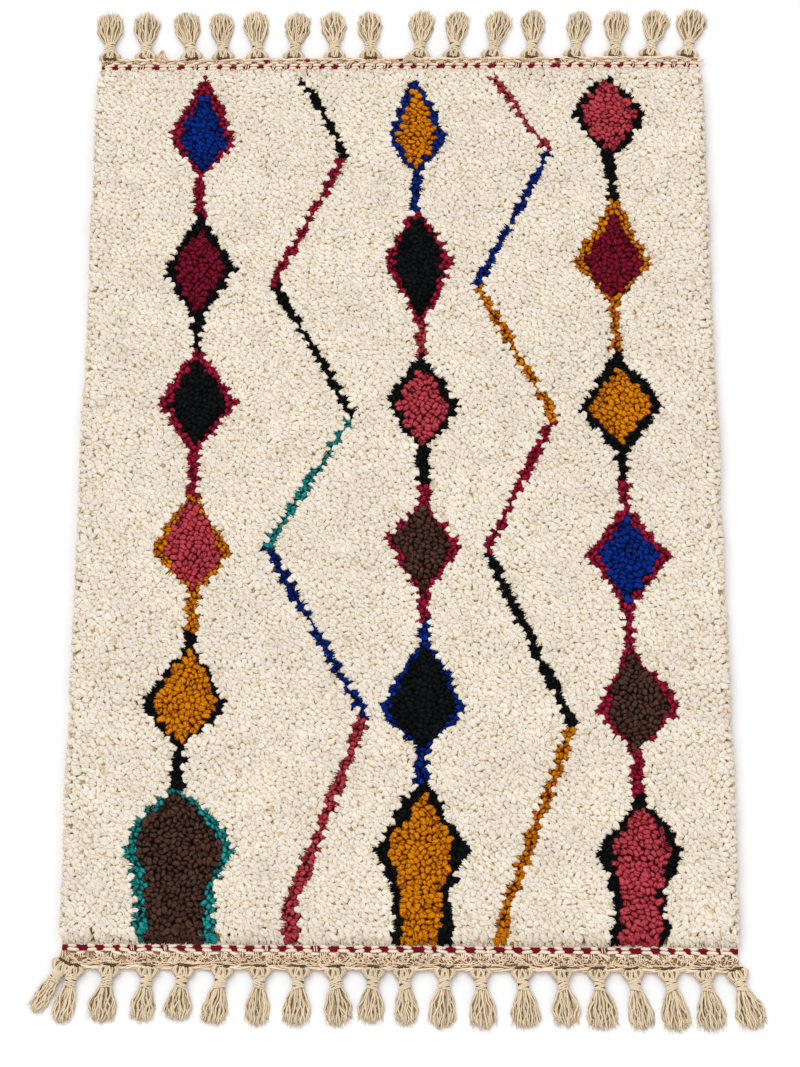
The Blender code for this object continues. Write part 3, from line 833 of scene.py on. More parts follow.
def pile():
    """All the yarn ends, one piece for each yarn, and the cream in bands along the rug."""
    rng = np.random.default_rng(SEED)
    shapes = [
        yarn_end(6), yarn_end(6, tip=0.8, curl=0.10, arch=0.04), yarn_end(5, tip=0.8, curl=-0.12, arch=0.08),
        yarn_end(6, tip=1.1, curl=-0.12, arch=0.02), yarn_end(6, tip=0.9, curl=0.14, arch=0.06),
    ]
    ends = tied_ends(rng, len(shapes))
    heaps = {}
    for index, shape in enumerate(shapes):
        lay_ends(heaps, ends, shape, np.flatnonzero(ends.kind == index))
    jutting_tufts(heaps, ends, rng)
    straying_tufts(heaps, ends, rng)
    rim_tufts(heaps, ends, rng)
    for label, (name, heap) in heaps.items():
        heap.finish(label, PILE_FINISHES[name], "pile_wool", ["rug_cloth"])


# ---- the ground weave ------------------------------------------------------
# What shows between the yarn ends, and on the underside: for each yarn first painted shade, where the bed
# shows deep between the ends, then its own colour on the underside.
GROUND_COLOURS = {
    "cream": ("#CDB285", "#E6D9C2"), "black": ("#070708", "#1A1A1C"), "crimson": ("#4A0416", "#8E1230"),
    "rose": ("#611720", "#A83C46"), "burgundy": ("#36030C", "#6E0E22"), "blue": ("#020C38", "#0A2A74"),
    "ochre": ("#6E3502", "#BE760A"), "teal": ("#083335", "#1F7E7C"), "brown": ("#170D0A", "#4C3329"),
}
STRIP_COLOUR = "#D9B790"
WEFT_PITCH = 3.3           # millimetres between wefts, which run across
WARP_PITCH = 4.3           # millimetres between warps
BED_DEPTH = 0.0030         # from the pile's top to the crowded feet of the ends
DARK_BED = 0.0046          # and deeper under the figures, where it must not show
BESIDE_FIGURE = 12         # and this many millimetres round them
CLOTH_CELLS = (48, 78)     # across and along
STRIP_CELLS = 3            # rows of cells that each strip takes


def woven_ground():
    """The flat weave that carries the knots: in the strips it shows, in the field the crowded
    feet of the yarn ends stand on it, and the underside shows the backs of the knots."""
    finish = bpy.data.materials.new("woven_wool_ground")
    finish.use_nodes = True
    tree = finish.node_tree
    shader = tree.nodes["Principled BSDF"]
    yarn = add_node(tree, "ShaderNodeAttribute", {"attribute_name": "ground"})
    place = add_node(tree, "ShaderNodeTexCoord")
    weft = add_node(
        tree, "ShaderNodeTexWave",
        {"bands_direction": "Y", "Scale": wave_scale(WEFT_PITCH), "Distortion": 1.5},
        {"Vector": place.outputs["Object"]})
    warp = add_node(
        tree, "ShaderNodeTexWave",
        {"bands_direction": "X", "Scale": wave_scale(WARP_PITCH), "Distortion": 1.0},
        {"Vector": place.outputs["Object"]})
    # Painted light and shade over the weave: lighter on the threads and darker between them, with a bump from
    # the same weave.
    weave = add_node(
        tree, "ShaderNodeMath", {"operation": "MULTIPLY"}, {0: weft.outputs["Fac"], 1: warp.outputs["Fac"]})
    shade = add_node(
        tree, "ShaderNodeMapRange", {"To Min": 0.72, "To Max": 1.08}, {"Value": weave.outputs["Value"]})
    colour = add_node(
        tree, "ShaderNodeHueSaturation",
        links={"Color": yarn.outputs["Color"], "Value": shade.outputs["Result"]})
    bump = add_node(
        tree, "ShaderNodeBump", {"Strength": 0.6, "Distance": 0.8 * MM}, {"Height": weave.outputs["Value"]})
    tree.links.new(colour.outputs["Color"], shader.inputs["Base Color"])
    tree.links.new(bump.outputs["Normal"], shader.inputs["Normal"])
    shader.inputs["Roughness"].default_value = 0.95
    shader.inputs["Specular IOR Level"].default_value = 0.2
    return finish


def strip_edge(end):
    return FIELD_LENGTH / 2 + STRIP_WIDTH[end]


def ground_cloth():
    """The cloth itself, one piece from strip to strip."""
    deselect_all()
    bpy.ops.mesh.primitive_grid_add(x_subdivisions=CLOTH_CELLS[0], y_subdivisions=CLOTH_CELLS[1], size=1.0)
    cloth = bpy.context.object
    cloth.name = "ground_cloth"
    body = cloth.modifiers.new("thickness", "SOLIDIFY")
    body.thickness = STRIP_TOP
    body.offset = -1.0
    bpy.ops.object.modifier_apply(modifier=body.name)
    mesh = cloth.data
    points = mesh_points(mesh)
    upper = points[:, 2] > -STRIP_TOP / 2
    strip = STRIP_CELLS / CLOTH_CELLS[1]
    y = FIELD_MID_Y + np.interp(
        points[:, 1], [-0.5, -0.5 + strip, 0.5 - strip, 0.5],
        [-strip_edge("near"), -FIELD_LENGTH / 2, FIELD_LENGTH / 2, strip_edge("far")])
    in_strip = np.abs(y - FIELD_MID_Y) > FIELD_LENGTH / 2 - MM
    x = points[:, 0] * (FIELD_WIDTH - 2 * STRIP_INSET)
    yarn, edge = chart(x / MM, y / MM)
    deeper = np.where((yarn > 0) | (edge < BESIDE_FIGURE), DARK_BED, BED_DEPTH)
    bed = np.where(in_strip, STRIP_TOP, np.maximum(pile_top(x, y) - deeper, STRIP_TOP))
    points[:, 0], points[:, 1] = on_cloth(x, y)
    points[:, 2] = np.where(upper, bed, 0.0)
    mesh.vertices.foreach_set("co", points.ravel())
    colours = np.array([[linear(shade) for shade in GROUND_COLOURS[name]] for name in YARNS])
    # The top of the bed in the field takes the painted shade colour, the underside the yarn's own.
    shown = colours[yarn, np.where(upper, 0, 1)]
    shown[in_strip] = linear(STRIP_COLOUR)
    layer = mesh.attributes.new("ground", "FLOAT_COLOR", "POINT")
    layer.data.foreach_set("color", np.column_stack([shown, np.ones(len(shown))]).ravel())
    mesh.shade_smooth()
    mesh.materials.append(woven_ground())
    place_piece(cloth, ["rug_cloth"])
    return cloth


# ---- yarns laid along a path -----------------------------------------------
def yarn_run(rings, segments=4):
    """A straight run of yarn, one unit long up Z, cut into rings for bending."""
    deselect_all()
    bpy.ops.mesh.primitive_cylinder_add(vertices=segments, radius=1.0, depth=1.0, enter_editmode=True)
    piece = bpy.context.object
    bpy.context.tool_settings.mesh_select_mode = (False, True, False)
    work = bmesh.from_edit_mesh(piece.data)
    for edge in work.edges:
        edge.select_set(abs(edge.verts[0].co.z - edge.verts[1].co.z) > 0.5)
    bmesh.update_edit_mesh(piece.data)
    bpy.ops.mesh.subdivide(number_cuts=rings - 2)
    bpy.context.tool_settings.mesh_select_mode = (True, False, False)
    bpy.ops.object.mode_set(mode="OBJECT")
    return take_shape(piece)


def lay(run, path, thick, flat=1.0):
    """Copies of a run laid along paths, which are copies by rings by 3, and as thick as
    the rings say. Flat is a yarn's height against its width. Also how far every point
    lies below its own yarn's crest, which the finishes paint as shade down the yarn's sides."""
    ring = np.rint((run.points[:, 2] + 0.5) * (path.shape[1] - 1)).astype(int)
    ahead = np.gradient(path, axis=1)
    ahead /= np.linalg.norm(ahead, axis=2, keepdims=True)
    side = np.cross(ahead, [0.0, 0.0, 1.0])
    side += 1e-6
    side /= np.linalg.norm(side, axis=2, keepdims=True)
    above = np.cross(side, ahead)
    radius = np.broadcast_to(thick, path.shape[:2])[:, ring, None] / 2
    x, y = run.points[None, :, 0:1], run.points[None, :, 1:2]
    places = path[:, ring] + radius * (x * side[:, ring] + flat * y * above[:, ring])
    return places, (radius * flat * (1 - y))[:, :, 0]


def rounded_ends(rings, tip=0.45):
    """How thick a run is along its length when its two ends are rounded."""
    thick = np.ones(rings)
    thick[[0, -1]] = tip
    return thick


# ---- the woven ends --------------------------------------------------------
# How far out from the pile's foot each row lies.
ROWS = {
    "near": {"red": 0.0119, "stitches": (0.0195, 0.0364), "cord": 0.0408, "cord_top": 0.0072},
    "far": {"red": 0.0124, "stitches": (0.0180, 0.0245), "cord": 0.0264, "cord_top": 0.0088},
}
HALF_ROW = FIELD_WIDTH / 2 - STRIP_INSET
WINDOW_PITCH = {"near": 0.0245, "far": 0.0215}     # from one red window to the next
RED_WIDTH = 0.0080
LIFTED_REDS = [-0.222, -0.155, 0.003, 0.262]       # where red comes up again, at the far end
# The pale strands of a twined row: how far along from the middle between two windows, how far
# out from the red weft, their length and their thickness.
TWINED_STRANDS = [
    {"slide": -0.0008, "out": -0.0030, "length": 0.0125, "thick": 0.0060},
    {"slide": 0.0008, "out": 0.0032, "length": 0.0155, "thick": 0.0058},
    {"slide": 0.0120, "out": 0.0080, "length": 0.0140, "thick": 0.0048},
]
CROSSED_WINDOWS = {"near": 0.15, "far": 0.55}      # the share that thin strands cross
FOOT_LOOPS = 120
STITCH_TOP = STRIP_TOP + 0.0030
FULL_BAND = 0.0155         # the depth of stitching for which these counts hold
CURLS = 500
SLANTING = 480
EDGE_STRANDS = 190
BAR_PITCH = 0.023          # from one group of three upright bars to the next
# Painted shade: the far end's stitches are all coloured a little darker.
SUNK_STITCH_SHADE = {"near": 0.0, "far": 0.0007}        # the far stitches lie deeper in the cloth, so darker
CORD = {"thick": 0.0046, "coil": 0.0014, "pitch": 0.056}
CORD_STRANDS = 60          # long single strands that wander over the cord
BUNCH = {"x": -0.3975, "count": 14, "half": 0.0104}        # between the second and third far tassels


def at_end(side, x, out, z):
    """Places of a woven end: across the rug, out from the pile's foot, and up."""
    x, out, z = np.broadcast_arrays(x, out, z)
    y = flared(x, FIELD_MID_Y + side * (FIELD_LENGTH / 2 + out))
    return np.stack([x, y, z], axis=-1)


def spaced(count, inset):
    """Places along a row, evenly spaced, a little in from its ends."""
    return np.linspace(-HALF_ROW + inset, HALF_ROW - inset, count)[:, None]


def either_side(rng, count):
    return rng.choice([-1, 1], count)[:, None]


def red_weft(end, side):
    """The red weft and the pale one at the pile's foot, each along the whole row."""
    middle = ROWS[end]["red"]
    rings = 120
    core = yarn_run(rings, 6)
    x = np.linspace(-HALF_ROW, HALF_ROW, rings)[None]
    wander = 0.0003 * np.sin(TURN * x / 0.083)
    red = Heap()
    # Both wefts take half of their own depth as painted shade, and the pale one a little more below that.
    red.add_runs(
        core, at_end(side, x, middle + wander, STRIP_TOP + 0.0014), RED_WIDTH, np.zeros(1), flat=0.45,
        shade=0.5)
    if end == "far":
        rings = 6
        lifted = np.array(LIFTED_REDS)[:, None] + np.linspace(-0.0048, 0.0048, rings)[None]
        red.add_runs(
            yarn_run(rings, 6), at_end(side, lifted, 0.0232, STRIP_TOP + 0.0050),
            0.0058 * rounded_ends(rings, 0.7), np.zeros(len(lifted)), flat=0.5, shade=0.5)
    pale = Heap()
    pale.add_runs(
        core, at_end(side, x, middle - 0.0080, STRIP_TOP + 0.0012), 0.0080, np.zeros(1), flat=0.4, shade=0.5,
        below=0.0004)
    pale.finish(f"pile_foot_{end}", END_FINISHES["cream"], "twined_wool", [f"twined_edge_{end}"])
    red.finish(f"red_weft_{end}", END_FINISHES["red"], "twined_wool", [f"twined_edge_{end}"])


def twined_row(end, side, rng):
    """Red weft that shows in windows, between pairs of short slanting cream strands."""
    red_weft(end, side)
    middle = ROWS[end]["red"]
    pitch = WINDOW_PITCH[end]
    cream = Heap()
    rings = 7
    strand = yarn_run(rings, 5)
    share = np.linspace(-0.5, 0.5, rings)[None]
    count = int(2 * HALF_ROW / pitch)
    between = -HALF_ROW + 0.004 + (np.arange(count) + 0.5) * 2 * (HALF_ROW - 0.002) / count
    between = (between + rng.normal(0, 0.08 * pitch, count))[:, None]
    for row in TWINED_STRANDS:
        length = row["length"] * rng.uniform(0.85, 1.15, count)[:, None]
        slant = rng.normal(0.0010, 0.0012 + 0.2 * max(row["out"], 0), count)[:, None]
        path = at_end(
            side, between + row["slide"] + length * share, middle + row["out"] + slant * share,
            STRIP_TOP + 0.0033 - 0.0010 * (2 * share) ** 4)
        cream.add_runs(
            strand, path, row["thick"] * rounded_ends(rings, 0.35), rng.normal(0.3, 0.3, count), flat=0.8)
    # Here and there a thin strand crosses a window.
    some = rng.random(count) < CROSSED_WINDOWS[end]
    for slide in (-0.0016, 0.0016):
        x = between[some] + pitch / 2 + slide + rng.normal(0, 0.0008, some.sum())[:, None]
        path = at_end(side, x + 0.0014 * share, middle + 0.0092 * share, STRIP_TOP + 0.0040)
        cream.add_runs(strand, path, 0.0016 * rounded_ends(rings), rng.normal(0.4, 0.3, some.sum()))
    # Small pinkish loops at the pile's foot, which show where the tufts over them are thin.
    turn = np.linspace(-0.12, 1.12, 6)[None] * math.pi
    x = spaced(FOOT_LOOPS, 0.004) + rng.normal(0, 0.0012, FOOT_LOOPS)[:, None]
    width = rng.uniform(0.0028, 0.0042, FOOT_LOOPS)[:, None]
    reach = rng.uniform(0.0028, 0.0046, FOOT_LOOPS)[:, None]
    path = at_end(side, x + width * np.cos(turn), middle - 0.0082 + reach * np.sin(turn), STRIP_TOP + 0.0036)
    # The loops take six tenths of their depth as painted shade.
    cream.add_runs(yarn_run(6, 3), path, 0.0028, rng.normal(0.5, 0.3, FOOT_LOOPS), shade=0.6)
    cream.finish(f"cream_twining_{end}", END_FINISHES["cream"], "twined_wool", [f"twined_edge_{end}"])


def stitches(heap, end, side, rng):
    """The close stitching between the twined row and the edge cord: upright bars in threes,
    curls, slanting stitches, and longer strands lying along the edge."""
    first, last = ROWS[end]["stitches"]
    rings = 6
    stitch = yarn_run(rings, 3)
    share = np.linspace(0, 1, rings)[None]
    arch = np.sin(math.pi * share)
    spare = (last - first) / FULL_BAND      # the far end has less room, so fewer stitches

    def sew(x, out, height, thick, tone):
        places, depth = lay(stitch, at_end(side, x, out, height), thick * rounded_ends(rings))
        # Painted shade: a stitch that dips below the stitching's top is coloured darker, and the far end's
        # stitches all a little darker.
        below = 0.5 * np.maximum(STITCH_TOP + 0.0006 - height.min(axis=1), 0)[:, None]
        heap.add(stitch, places, depth + below + SUNK_STITCH_SHADE[end], rng.normal(tone, 0.35, len(places)))

    groups = int(2 * HALF_ROW / BAR_PITCH)
    bars = 3 * groups
    x = (spaced(groups, 0.006)[:, 0] + rng.normal(0, 0.003, groups)).repeat(3)
    x = (x + np.tile([-0.0031, 0, 0.0031], groups))[:, None] + rng.normal(0, 0.0010, bars)[:, None] * share
    out = first - 0.002 + rng.uniform(0.50, 0.72, bars)[:, None] * (last - first) * share
    sew(x, out, STITCH_TOP + 0.0006 + 0.0010 * arch + 0 * x, 0.0030, 0.4)

    count = int(CURLS * spare)
    reach = rng.uniform(0.0019, 0.0040, count)[:, None]
    begin = rng.uniform(0, TURN, count)[:, None]
    turn = begin + rng.uniform(2.2, 4.6, count)[:, None] * either_side(rng, count) * share
    x = rng.uniform(-HALF_ROW + 0.004, HALF_ROW - 0.004, count)[:, None]
    out = rng.uniform(first, last - 0.001, count)[:, None]
    level = rng.uniform(-0.0016, 0.0010, count)[:, None]
    sew(x + reach * np.cos(turn), out + reach * np.sin(turn), STITCH_TOP + level + 0.0006 * arch, 0.0036, 0.2)

    count = int(SLANTING * spare)
    length = rng.uniform(0.007, 0.013, count)[:, None]
    angle = rng.uniform(0.15, 1.1, count)[:, None] * either_side(rng, count)
    x = rng.uniform(-HALF_ROW + 0.006, HALF_ROW - 0.006, count)[:, None]
    x = x + length * np.cos(angle) * (share - 0.5)
    out = rng.uniform(first + 0.002, last - 0.002, count)[:, None] + length * np.sin(angle) * (share - 0.5)
    level = rng.uniform(-0.0018, 0.0006, count)[:, None]
    sew(x, np.clip(out, first - 0.001, last), STITCH_TOP + level + 0.0008 * arch, 0.0035, 0.1)

    length = rng.uniform(0.010, 0.022, EDGE_STRANDS)[:, None]
    x = spaced(EDGE_STRANDS, 0.012) + length * (share - 0.5)
    out = rng.uniform(last - 0.0040, last + 0.0022, EDGE_STRANDS)[:, None]
    out = out + rng.normal(0, 0.0022, EDGE_STRANDS)[:, None] * (share - 0.5)
    level = rng.normal(0, 0.0005, EDGE_STRANDS)[:, None]
    sew(x, out, STITCH_TOP + level + 0.0008 * arch, 0.0034, 0.1)


def edge_cord(heap, end, side, rng):
    """Two yarns twisted round each other along the strip's edge, with long strands over them."""
    middle, top = ROWS[end]["cord"], ROWS[end]["cord_top"]
    rings = 300
    strand = yarn_run(rings, 5)
    x = np.linspace(-HALF_ROW, HALF_ROW, rings)[None]
    turn = TURN * x / CORD["pitch"] + 0.9 * np.sin(TURN * x / 0.21 + side)
    thick, coil = CORD["thick"], CORD["coil"]
    for phase in (0, math.pi):
        height = top - thick / 2 - coil + coil * np.sin(turn + phase)
        path = at_end(side, x, middle + 1.2 * coil * np.cos(turn + phase), height)
        # The twisted yarns are painted in a little shade, under the long strands over them.
        heap.add_runs(strand, path, thick, rng.normal(0.0, 0.2, 1), below=0.0002)
    rings, count = 9, CORD_STRANDS
    share = np.linspace(0, 1, rings)[None]
    length = rng.uniform(0.018, 0.040, count)[:, None]
    x = rng.uniform(-HALF_ROW + 0.02, HALF_ROW - 0.02, count)[:, None] + length * (share - 0.5)
    slant = rng.uniform(0.002, 0.006, count)[:, None] * either_side(rng, count)
    path = at_end(side, x, middle + slant * (share - 0.5), top + 0.0003 - 0.0006 * (2 * share - 1) ** 2)
    heap.add_runs(yarn_run(rings, 4), path, 0.0026 * rounded_ends(rings), rng.normal(0.1, 0.3, count))


def loose_bunch(heap, side, rng):
    """The warps' last ends poke out over the far cord in one small bunch."""
    rings, count = 7, BUNCH["count"]
    end_yarn = yarn_run(rings, 4)
    share = np.linspace(0, 1, rings)[None]
    order = np.linspace(-1, 1, count)[:, None]
    x = BUNCH["x"] + BUNCH["half"] * order * (1 - 0.75 * share) + 0.0014 * np.sin(5 * share + 9 * order)
    out = ROWS["far"]["cord"] - 0.0040 + (0.0240 - 0.0095 * order ** 2) * share
    height = np.interp(share, [0, 0.3, 1.0], [0.0076, 0.0108, 0.0052]) + 0.0010 * rng.random((count, 1))
    places, depth = lay(end_yarn, at_end(side, x, out, height), 0.0027 * rounded_ends(rings))
    along = end_yarn.points[:, 2] + 0.5
    depth = depth + 0.0016 * rng.random((count, 1)) + 0.0022 * along ** 5
    heap.add(end_yarn, places, depth, rng.normal(0, 0.5, count))


def woven_end(end, side):
    rng = np.random.default_rng(SEED + 1 + side)
    twined_row(end, side, rng)
    heap = Heap()
    stitches(heap, end, side, rng)
    edge_cord(heap, end, side, rng)
    if end == "far":
        loose_bunch(heap, side, rng)
    heap.finish(f"stitched_edge_{end}", END_FINISHES["band"], "pile_wool", ["rug_cloth"])


# ---- the tassels -----------------------------------------------------------
# From the strip's edge: where the yarns come up through the cloth, and where the wrapping starts.
# Also how wide the painted shadow over the hole is, how much wider than its solid the skirt fans,
# how far its tips round off, and how wide the ears are on their way from the hole to the neck.
TASSEL_ENDS = {
    "near": {
        "hole": -0.0060, "hole_shadow": 0.0040, "neck": 0.0100, "fan": 1.04, "round": 0.0095,
        "ears": (0.0046, 0.0080, 0.0094, 0.0078, 0.0048)},
    "far": {
        "hole": -0.0050, "hole_shadow": 0.0066, "neck": 0.0105, "fan": 1.2, "round": 0.0130,
        "ears": (0.0098, 0.0112, 0.0100, 0.0078, 0.0056)},
}
EAR_MARKS = (0, 0.2, 0.45, 0.75, 1.0)                      # the shares of the way for those widths
EAR_STEPS = (0.0009, 0.0021, 0.0022, 0.0013, 0.0010)       # each further yarn of an ear lies this much wider
EAR_RISE = (0.0050, 0.0088, 0.0092, 0.0078, 0.0058)
EAR_YARNS = [              # from the hollow outwards: how much lower, and how deep in shade
    {"lower": 0.0028, "below": 0.0014}, {"lower": 0.0, "below": 0.0},
    {"lower": 0.0002, "below": 0.0}, {"lower": 0.0020, "below": 0.0003},
]
# Yarns from the hole into the neck: across at the hole, across at the neck, and how much higher.
THROUGH_YARNS = [
    (-0.0040, -0.0062, 0.0), (-0.0014, -0.0028, 0.0003), (0.0014, 0.0024, 0.0), (0.0040, 0.0060, 0.0003),
    (0.0006, -0.0062, 0.0014), (-0.0006, 0.0056, 0.0013),
]
HOLE_LOOPS = 7             # small loops over the hole
NECK_LENGTH = 0.0175       # the wrapped part
NECK_WIDTH = 0.0186
NECK_HEIGHT = 0.0055       # up to the wrapping's middle
WRAPS = 10
RAISED_WRAPS = [2, 5, 7]   # these cross over their neighbours
SKIRT_LAYERS = (9, 9, 8)   # yarns in each layer of the skirt, from the lowest
UNDER_YARNS = 5            # broad shadowed yarns under them
LOOSE_FIBRES = 34
EAR_YARN = 0.0034
WRAP_YARN = 0.0031
SKIRT_YARN = 0.0032
CORNER_SHIFT = (0.0070, 0.0050)        # the first near tassel is tied over the strip's corner
INNER_LOOP = {"across": -0.0150, "out": -0.0125, "yarns": (0.0016, 0.0046, 0.0076, 0.0104)}


def tassel_place(node, side):
    """Where a tassel's solid lies: its root on the strip's edge, the way it points, its
    reach and the width of its skirt."""
    points = mesh_points(frame["nodes"][node].data)
    flat = points[:, :2]
    out = flat[:, 1] * side
    at_root = flat[out < out.min() + 0.4 * MM]
    at_neck = flat[points[:, 2] > 0.93 * points[:, 2].max()]
    root = (at_root.min(axis=0) + at_root.max(axis=0)) / 2
    axis = (at_neck.min(axis=0) + at_neck.max(axis=0)) / 2 - root
    axis /= np.hypot(*axis)
    across = np.array([axis[1], -axis[0]])
    along = (flat - root) @ axis
    sideways = (flat - root) @ across
    at_tips = sideways[along > 0.9 * along.max()]
    return root, axis, across, along.max(), np.ptp(at_tips)


class Tassel:
    """A loop of yarns drawn through the cloth, wrapped at the neck and cut into a skirt."""

    def __init__(self, node, side, rng, runs):
        self.node, self.rng, self.runs = node, rng, runs
        self.heap = Heap()
        self.root, self.axis, self.across, self.reach, skirt = tassel_place(node, side)
        if node == "tassel_near_01":
            end = self.root + self.reach * self.axis
            self.root = self.root + np.array(CORNER_SHIFT)
            self.reach = np.hypot(*(end - self.root))
            self.axis = (end - self.root) / self.reach
            self.across = np.array([self.axis[1], -self.axis[0]])
        self.habit = TASSEL_ENDS["near" if side < 0 else "far"]
        self.skirt_width = skirt * self.habit["fan"]
        self.skirt_start = self.habit["neck"] + NECK_LENGTH
        self.skirt_length = self.reach - self.skirt_start

    def strands(self, rings, u, v, z, thick, below=0.0, flat=1.0, tone=0.0):
        """Yarns laid along paths in the tassel's own across, out and up, none under the floor."""
        z = np.maximum(z, flat * np.broadcast_to(thick, np.broadcast_shapes(np.shape(u), np.shape(z))) / 2)
        u, v, z = np.broadcast_arrays(u, v, z)
        plan = self.root + u[..., None] * self.across + v[..., None] * self.axis
        path = np.concatenate([plan, z[..., None]], axis=-1)
        tones = np.reshape(self.rng.normal(tone, 0.35, len(path)), (-1, 1))
        self.heap.add_runs(self.runs[rings], path, thick, tones, flat=flat, below=below)

    def hole(self):
        """A flat dark strand, painted shadow in the hole that the yarns come up through, and the small loops
        over it.
        """
        hole, hole_shadow = self.habit["hole"], self.habit["hole_shadow"]
        share = np.linspace(0, 1, 8)[None]
        # Painted shadow: a flat strand, coloured deep in shade, lies over the hole.
        self.strands(
            8, 0.022 * (share - 0.5), hole + 0.0004 + 0.0005 * np.sin(6 * share), 0.0086 + 0 * share,
            hole_shadow * rounded_ends(8, 0.3), below=0.0042, flat=0.0020 / hole_shadow)
        share = np.linspace(0, 1, 6)[None]
        spread = np.linspace(-1, 1, HOLE_LOOPS)[:, None]
        self.strands(
            6, 0.0062 * spread * (1 - 0.55 * share) + self.rng.normal(0, 0.0006, (HOLE_LOOPS, 1)),
            hole - 0.0014 - 0.0056 * share * (1 - 0.4 * spread ** 2),
            0.0074 + 0.0016 * np.sin(math.pi * (0.2 + 0.7 * share)), 0.0019 * rounded_ends(6), tone=0.4)

    def ears(self):
        """On each side a rounded loop of four yarns that bulges out over the edge cord, and
        between them the yarns that run from the hole into the neck, some of them crossing."""
        rings, rng = 8, self.rng
        share = np.linspace(0, 1, rings)[None]
        out = self.habit["hole"] + share * (self.habit["neck"] + 0.0022 - self.habit["hole"])
        for hand in (-1, 1):
            for number, yarn in enumerate(EAR_YARNS):
                bulge = np.interp(share, EAR_MARKS, self.habit["ears"] + number * np.array(EAR_STEPS))
                rise = np.interp(share, EAR_MARKS, EAR_RISE)
                self.strands(
                    rings, hand * bulge + rng.normal(0, 0.0003, (1, rings)), out + rng.normal(0, 0.0005),
                    rise - yarn["lower"], EAR_YARN * rounded_ends(rings, 0.7), below=yarn["below"])
        at_hole, at_neck, higher = np.array(THROUGH_YARNS).T[:, :, None]
        at_hole = at_hole + rng.normal(0, 0.0005, at_hole.shape)
        at_neck = at_neck + rng.normal(0, 0.0005, at_neck.shape)
        rise = np.interp(share, [0, 0.3, 0.7, 1.0], [0.0058, 0.0076, 0.0084, 0.0070])
        self.strands(
            rings, at_hole + (at_neck - at_hole) * share, out + 0.0004, rise + higher,
            EAR_YARN * rounded_ends(rings, 0.7), tone=0.1)

    def neck(self):
        """A core, wrapped with slanting turns that cross here and there."""
        neck, rng = self.habit["neck"], self.rng
        share = np.linspace(0, 1, 8)[None]
        self.strands(
            8, 0 * share, neck - 0.002 + (NECK_LENGTH + 0.003) * share, 0.0052 + 0 * share,
            0.0156 * rounded_ends(8, 0.8), flat=0.60)
        rings = 9
        turn = np.linspace(-0.06, 0.56, rings)[None] * TURN
        level = np.linspace(0, 1, WRAPS)[:, None]
        start = neck + 0.0006 + (NECK_LENGTH - 0.0012) * level
        slant = rng.choice([-1, 1], (WRAPS, 1)) * rng.uniform(0.0012, 0.0036, (WRAPS, 1))
        girth = 1 + 0.06 * np.cos(TURN * level) + rng.normal(0, 0.02, (WRAPS, 1))
        girth = (NECK_WIDTH - WRAP_YARN) / 2 * girth
        raised = 0.0040 + 0.0003 * rng.random((WRAPS, 1))
        raised[RAISED_WRAPS] += 0.0007
        self.strands(
            rings, girth * np.cos(turn), start + slant * np.cos(turn), NECK_HEIGHT + raised * np.sin(turn),
            WRAP_YARN)

    def half_skirt(self, share, at_neck, at_tips):
        """Half the skirt's width on its way: it swells below the neck and draws in at the tips."""
        fan = np.interp(share, [-0.07, 0, 0.15, 0.45, 0.75, 1.0], [-0.12, 0.0, 0.34, 0.78, 1.0, 0.84])
        return (NECK_WIDTH - at_neck + (self.skirt_width - NECK_WIDTH + at_tips) * fan) / 2

    def skirt(self):
        """Wavy strands in three layers, which fan out and settle on the floor, and under them
        broad shadowed ones, which hide the floor."""
        rings, rng = 9, self.rng
        share = np.linspace(-0.07, 1, rings)[None]
        order = np.linspace(-0.8, 0.8, UNDER_YARNS)[:, None]
        length = self.skirt_length - 0.016 - 0.007 * order ** 2
        broad = 0.0105 * np.interp(share, [-0.07, 0.2, 0.9, 1.0], [0.4, 0.7, 1.0, 0.7])
        self.strands(
            rings, order * self.half_skirt(share, 0.007, -0.001), self.skirt_start + length * share,
            0.0012 + 0 * share * order, broad, below=0.0011, flat=0.22)
        height = np.interp(share, [-0.07, 0.05, 0.30, 0.75, 1.0], [0.0050, 0.0054, 0.0046, 0.0036, 0.0028])
        step = np.interp(share, [-0.07, 0.05, 0.30, 1.0], [0.0014, 0.0020, 0.0024, 0.0014])
        ends = np.interp(share, [-0.07, 0.0, 0.88, 1.0], [0.9, 1.0, 1.0, 0.6])
        half = self.half_skirt(share, 0.004, 0.001)
        for layer, count in enumerate(SKIRT_LAYERS):
            order = np.linspace(-1, 1, count)[:, None]
            at_top = order * (1 - 0.06 * layer) + rng.normal(0, 0.30, (count, 1))
            at_tip = order * (1 - 0.03 * layer) + rng.normal(0, 0.10, (count, 1))
            spread = at_top + (at_tip - at_top) * np.clip(1.3 * share, 0, 1)
            wave = rng.uniform(0.0010, 0.0022, (count, 1))
            waves = share * rng.uniform(1.2, 2.2, (count, 1)) + rng.uniform(0, 1, (count, 1))
            wave = wave * np.sin(TURN * waves) * np.clip(2.5 * share, 0, 1)
            length = self.skirt_length - self.habit["round"] * order ** 2 - rng.uniform(0, 0.0065, (count, 1))
            uneven = 0.0009 * (np.arange(count) % 2)[:, None]
            # Painted shade: the lower layers are coloured darker, and each higher one a touch lighter in
            # tone.
            self.strands(
                rings, np.clip(spread, -1, 1) * half + wave, self.skirt_start + length * share,
                height + (layer - 1) * step - 0.0012 * order ** 2 + uneven,
                SKIRT_YARN * ends * rng.uniform(0.84, 1.08, (count, 1)), below=(0.0008, 0.0002, 0.0)[layer],
                tone=0.1 * layer)

